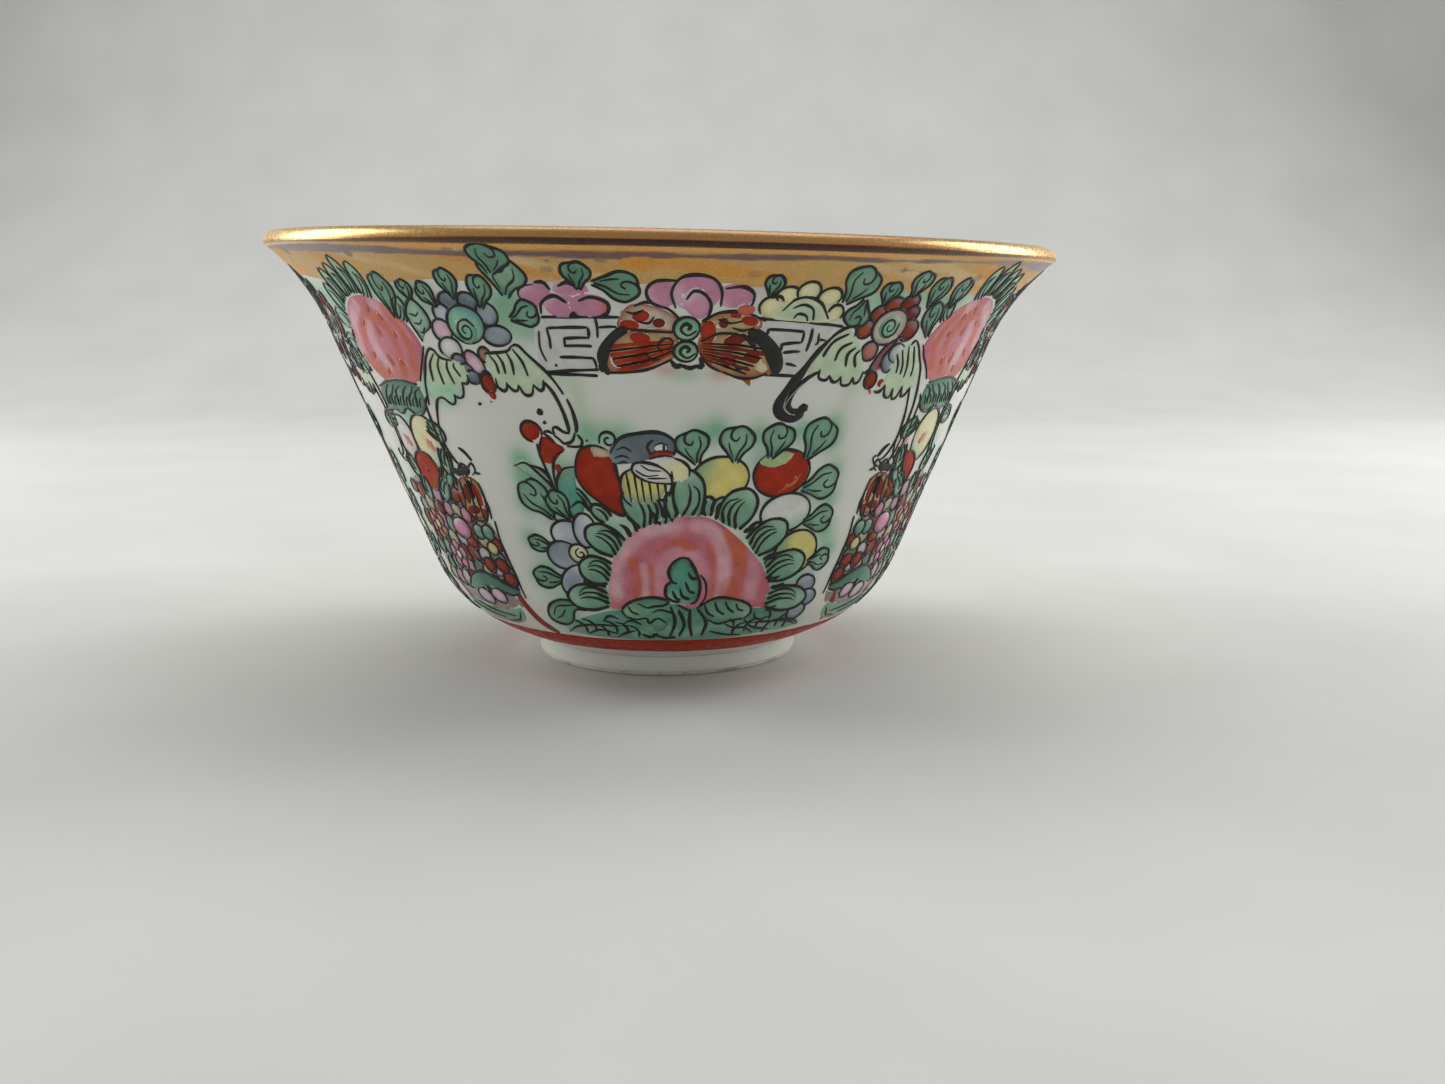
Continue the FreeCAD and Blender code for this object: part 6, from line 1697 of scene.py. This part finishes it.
def thicket(paint):
    """The crowded lower part of a band: small blossoms and leaves in brown, red, lilac and green."""
    ground = [(-60, 26.5), (-52, 26.6), (-45, 25.8), (-37, 22), (-35.6, 17), (-34.8, 12.4), (-38, 10),
              (-46, 9.4), (-56, 9.8), (-61.6, 13), (-62.4, 20)]
    paint.fill("blossoms", ground, wash((0.34, 0.24, 0.20), (0.30, 0.22, 0.20)), -1,
               [([(-58, 22), (-50, 20)], 2.0, (0.26, 0.36, 0.22), 0.8, 2.0),
                ([(-56, 13), (-44, 12)], 1.4, (0.5, 0.46, 0.5), 0.8, 1.6),
                ([(-46, 18), (-40, 17)], 1.6, (0.42, 0.16, 0.14), 0.7, 1.6)], gap=0.6, lift=0.0)
    chance = random.Random(31)
    tones = [((0.26, 0.07, 0.05), "butterfly"), ((0.40, 0.17, 0.14), "butterfly"),
             ((0.36, 0.06, 0.035), "butterfly"), ((0.50, 0.28, 0.34), "blossoms"),
             ((0.46, 0.42, 0.24), "fruits"), ((0.12, 0.20, 0.13), "spray_leaves"),
             ((0.22, 0.36, 0.26), "spray_leaves"), ((0.60, 0.48, 0.50), "blossoms")]
    for row in range(7):
        z = 25.0 - 1.9 * row
        left, right = -61.0 + 0.2 * row, -41.6 + 0.7 * row
        count = int((right - left) / 3.1)
        for index in range(count + 1):
            a = left + (right - left) * (index + 0.5 * (row % 2)) / count + chance.uniform(-0.3, 0.3)
            tone, group = tones[chance.randrange(len(tones))]
            tilt, wide, tall = chance.uniform(-50, 50), chance.uniform(1.4, 2.2), chance.uniform(0.8, 1.25)
            if a > -35.6:
                continue
            pale = tuple(0.5 * (value + 0.62) for value in tone)
            petal(paint, a, z + chance.uniform(-0.3, 0.3), wide, tall, tone, pale, chance.uniform(0, 360),
                  group, 1 + (row + index) % 3, tilt, 0.26)
    little_flower(paint, -56.6, 20.6, 2.0, (0.52, 0.16, 0.12), PALE_YELLOW, 6)
    little_flower(paint, -52.6, 16.8, 1.9, LILAC, PALE_YELLOW, 5)
    petal(paint, -46.8, 20.8, 2.8, 1.35, (0.66, 0.26, 0.40), PALE_LILAC, 120, "blossoms", 5, line=0.36)
    petal(paint, -43.6, 22.7, 1.4, 1.0, LILAC, None, 90, "blossoms", 4)
    for a in (-41.4, -38.8):
        petal(paint, a, 20.7, 1.5, 0.95, LEAF, PALE_LEAF, 90, "spray_leaves", 5, line=0.4)
    petal(paint, -39, 18.6, 1.4, 0.8, (0.68, 0.58, 0.26), None, 90, "fruits", 5)
    for a, z, tilt in ((-38, 16.4, 60), (-36.8, 14.6, 66), (-41.8, 16.2, 40)):
        petal(paint, a, z, 1.5, 1.0, (0.36, 0.06, 0.035), BROWN_RED, 270, "butterfly", 5, tilt, 0.44)
    paint.fill("base_leaves",
               [(-54, 12.4), (-50, 14.3), (-46, 15), (-42, 14.5), (-38, 13.7), (-35.3, 13.4),
                (-35.4, 12.7), (-38, 12.4), (-42, 13.2), (-46, 13.3), (-50, 12.4)],
               wash(DEEP_LEAF, DEEP_LEAF, LEAF, 180), 5)
    paint.lines(0.6, [(-53.6, 12.6), (-50, 14.4), (-46, 15.1), (-42, 14.6), (-38, 13.7), (-35.2, 13.3)],
                start=0.5, end=0.8)
    paint.lines(0.5, [(-40.6, 12.6), (-38, 12.4), (-35.4, 12.8)],
                [(-46.4, 13.2), (-44.8, 11.4), (-44.2, 12.6)], start=0.5)
    petal(paint, -48.8, 11.4, 2.8, 1.1, PALE_LILAC, PALE_BLUE, 160, "blossoms", 4)
    petal(paint, -43.2, 11.9, 2.4, 1.0, PALE_LILAC, PALE_BLUE, 160, "blossoms", 4)
    paint.fill("base_leaves",
               [(-60, 10.6), (-52, 9.8), (-44, 9.6), (-38, 10.6), (-38.6, 8.8), (-44, 7.6), (-52, 7.4),
                (-60, 7.8)],
               wash(LEAF, DEEP_LEAF, PALE_LEAF, 0, 0.8, 0.6), 1)
    paint.lines(0.36, [(-60, 9.6), (-54, 8.6), (-48, 8.3)], [(-56, 10), (-50, 9.2), (-42, 9)],
                [(-47, 7.9), (-42, 8.4), (-39, 9.8)], start=0.4, end=0.4)


def frame_edges(paint):
    """The fine black lines between a band and its panel."""
    paint.lines(0.34, [(-43.4, 37), (-43.4, 34), (-42.9, 30), (-43.6, 27.6)],
                [(-35.8, 22.4), (-36, 19), (-34.8, 15), (-34.2, 12.2)],
                [(-36.6, 25.4), (-36.2, 24), (-36.4, 22.6)])


def paint_band(prefix, turn, mirror, fruits):
    paint = Painter(prefix, turn, 1.0, mirror, BAND)
    thicket(paint)
    band_peony(paint)
    fringed_leaf(paint)
    band_fruits(paint, fruits)
    night_moth(paint)
    frame_edges(paint)
    paint.make()


# ---------------------------------------------------------------- floor, light and camera


def build_stage():
    """A plain pale floor that curves up far behind the bowl."""
    half, back, rise = 900.0, 620.0, 260.0
    profile = [(-700.0, 0.0), (back - rise, 0.0)]
    profile += [(back - rise + rise * math.sin(rad(a)), rise - rise * math.cos(rad(a))) for a in range(6,
                                                                                                       91,
                                                                                                       6)]
    profile.append((back, 1100.0))
    points = [(x, y, z) for y, z in profile for x in (-half, half)]
    faces = [(2 * i, 2 * i + 1, 2 * i + 3, 2 * i + 2) for i in range(len(profile) - 1)]
    nodes = Nodes("studio_paper")
    nodes.colour(nodes.ramp(nodes.noise(40.0, 2.0), [(0.3, (0.56, 0.558, 0.53)), (0.7, (0.60, 0.598, 0.57))]))
    nodes.set(Roughness=0.85)
    mesh = bpy.data.meshes.new("floor")
    mesh.from_pydata((np.array(points) * MM).tolist(), [], faces)
    mesh.polygons.foreach_set("use_smooth", [True] * len(mesh.polygons))
    mesh.materials.append(nodes.material)
    floor = bpy.data.objects.new("floor", mesh)
    bpy.context.scene.collection.objects.link(floor)


def add_light(name, place, target, size, power):
    data = bpy.data.lights.new(name, "AREA")
    data.shape = "RECTANGLE"
    data.size, data.size_y = size[0] * MM, size[1] * MM
    data.energy = power
    light = bpy.data.objects.new(name, data)
    light.location = [value * MM for value in place]
    aim = np.array(target) - np.array(place)
    light.rotation_euler = mathutils.Vector(aim.tolist()).to_track_quat("-Z", "Y").to_euler()
    bpy.context.scene.collection.objects.link(light)


def build_lights():
    """Two tall soft boxes to the sides and a broad one overhead. The camera's side is dimmer."""
    middle = (0.0, 0.0, 35.0)
    add_light("left_softbox", (-480.0, 160.0, 240.0), middle, (300.0, 420.0), 1.9)
    add_light("right_softbox", (480.0, 150.0, 260.0), middle, (300.0, 420.0), 2.2)
    add_light("overhead", (30.0, 200.0, 620.0), middle, (620.0, 380.0), 1.62)
    world = bpy.data.worlds.new("studio")
    world.use_nodes = True
    world.node_tree.nodes["Background"].inputs["Color"].default_value = (0.80, 0.82, 0.84, 1.0)
    world.node_tree.nodes["Background"].inputs["Strength"].default_value = 0.47
    bpy.context.scene.world = world


# The colours of the panels' fruits, and where each drifts to: peach, two plums, pear and quince.
DARK_RED = (0.22, 0.025, 0.012)
FRONT_PALETTE = [(IRON_RED, DARK_RED), (YELLOW, LEAF), (IRON_RED, None), (WHITE, PALE_LEAF), (YELLOW, LEAF)]
RIGHT_PALETTE = [(IRON_RED, ORANGE), (PALE_YELLOW, PALE_PINK), (YELLOW, LEAF), (PALE_YELLOW, LEAF),
                 (IRON_RED, DARK_RED)]
BACK_PALETTE = [(IRON_RED, DARK_RED), (IRON_RED, ORANGE), (YELLOW, LEAF), (PALE_YELLOW, PALE_PINK),
                (YELLOW, PALE_LEAF)]
LEFT_PALETTE = [(IRON_RED, DARK_RED), (WHITE, PALE_LEAF), (IRON_RED, None), (YELLOW, LEAF),
                (PALE_YELLOW, LEAF)]
SIDE_SQUEEZE = 0.7045
LEFT_BAND_FRUITS = [(-54.5, 32.0, 3.2, 2.7, WHITE, PALE_PINK),
                    (-47.0, 31.8, 4.2, 3.2, PALE_YELLOW, PALE_LEAF),
                    (-51.0, 27.9, 3.8, 2.4, IRON_RED, ORANGE)]
RIGHT_BAND_FRUITS = [(-43.8, 31.6, 3.2, 2.6, WHITE, PALE_PINK),
                     (-50.3, 32.0, 4.0, 3.2, PALE_YELLOW, PALE_LEAF),
                     (-46.6, 27.6, 4.0, 2.4, IRON_RED, ORANGE)]

CAMERA_PLACE = (-0.24, -201.1, 50.1)
CAMERA_DOWN = 10.02
CAMERA_RIGHT = 2.295
FOCAL_PIXELS = 1450.0
IMAGE_WIDTH = 1445.0
SENSOR = 36.0


def build_camera():
    data = bpy.data.cameras.new("camera")
    data.sensor_width = SENSOR
    data.lens = FOCAL_PIXELS / IMAGE_WIDTH * SENSOR
    data.clip_start = 0.01
    camera = bpy.data.objects.new("camera", data)
    camera.location = [value * MM for value in CAMERA_PLACE]
    camera.rotation_euler = (rad(90.0 - CAMERA_DOWN), 0.0, -rad(CAMERA_RIGHT))
    bpy.context.scene.collection.objects.link(camera)
    bpy.context.scene.camera = camera
    bpy.context.scene.view_settings.view_transform = "Standard"


# ---------------------------------------------------------------- build

build_camera()
build_stage()
build_lights()
build_body()
build_inner_glaze()
build_well_glaze()
build_lip()
build_gold_band()
build_inner_gold()
build_foot_line()
paint_panel("front", 0.0, 1.0, 1.0, FRONT_PALETTE)
paint_panel("right", 90.0, SIDE_SQUEEZE, -1.0, RIGHT_PALETTE)
paint_panel("back", 180.0, 1.0, -1.0, BACK_PALETTE)
paint_panel("left", 270.0, SIDE_SQUEEZE, 1.0, LEFT_PALETTE)
paint_band("band_left", 0.0, 1.0, LEFT_BAND_FRUITS)
paint_band("band_right", 101.7, -1.0, RIGHT_BAND_FRUITS)
paint_band("band_back_right", 178.2, 1.0, RIGHT_BAND_FRUITS)
paint_band("band_back_left", 281.2, -1.0, LEFT_BAND_FRUITS)
build_outer_glaze()
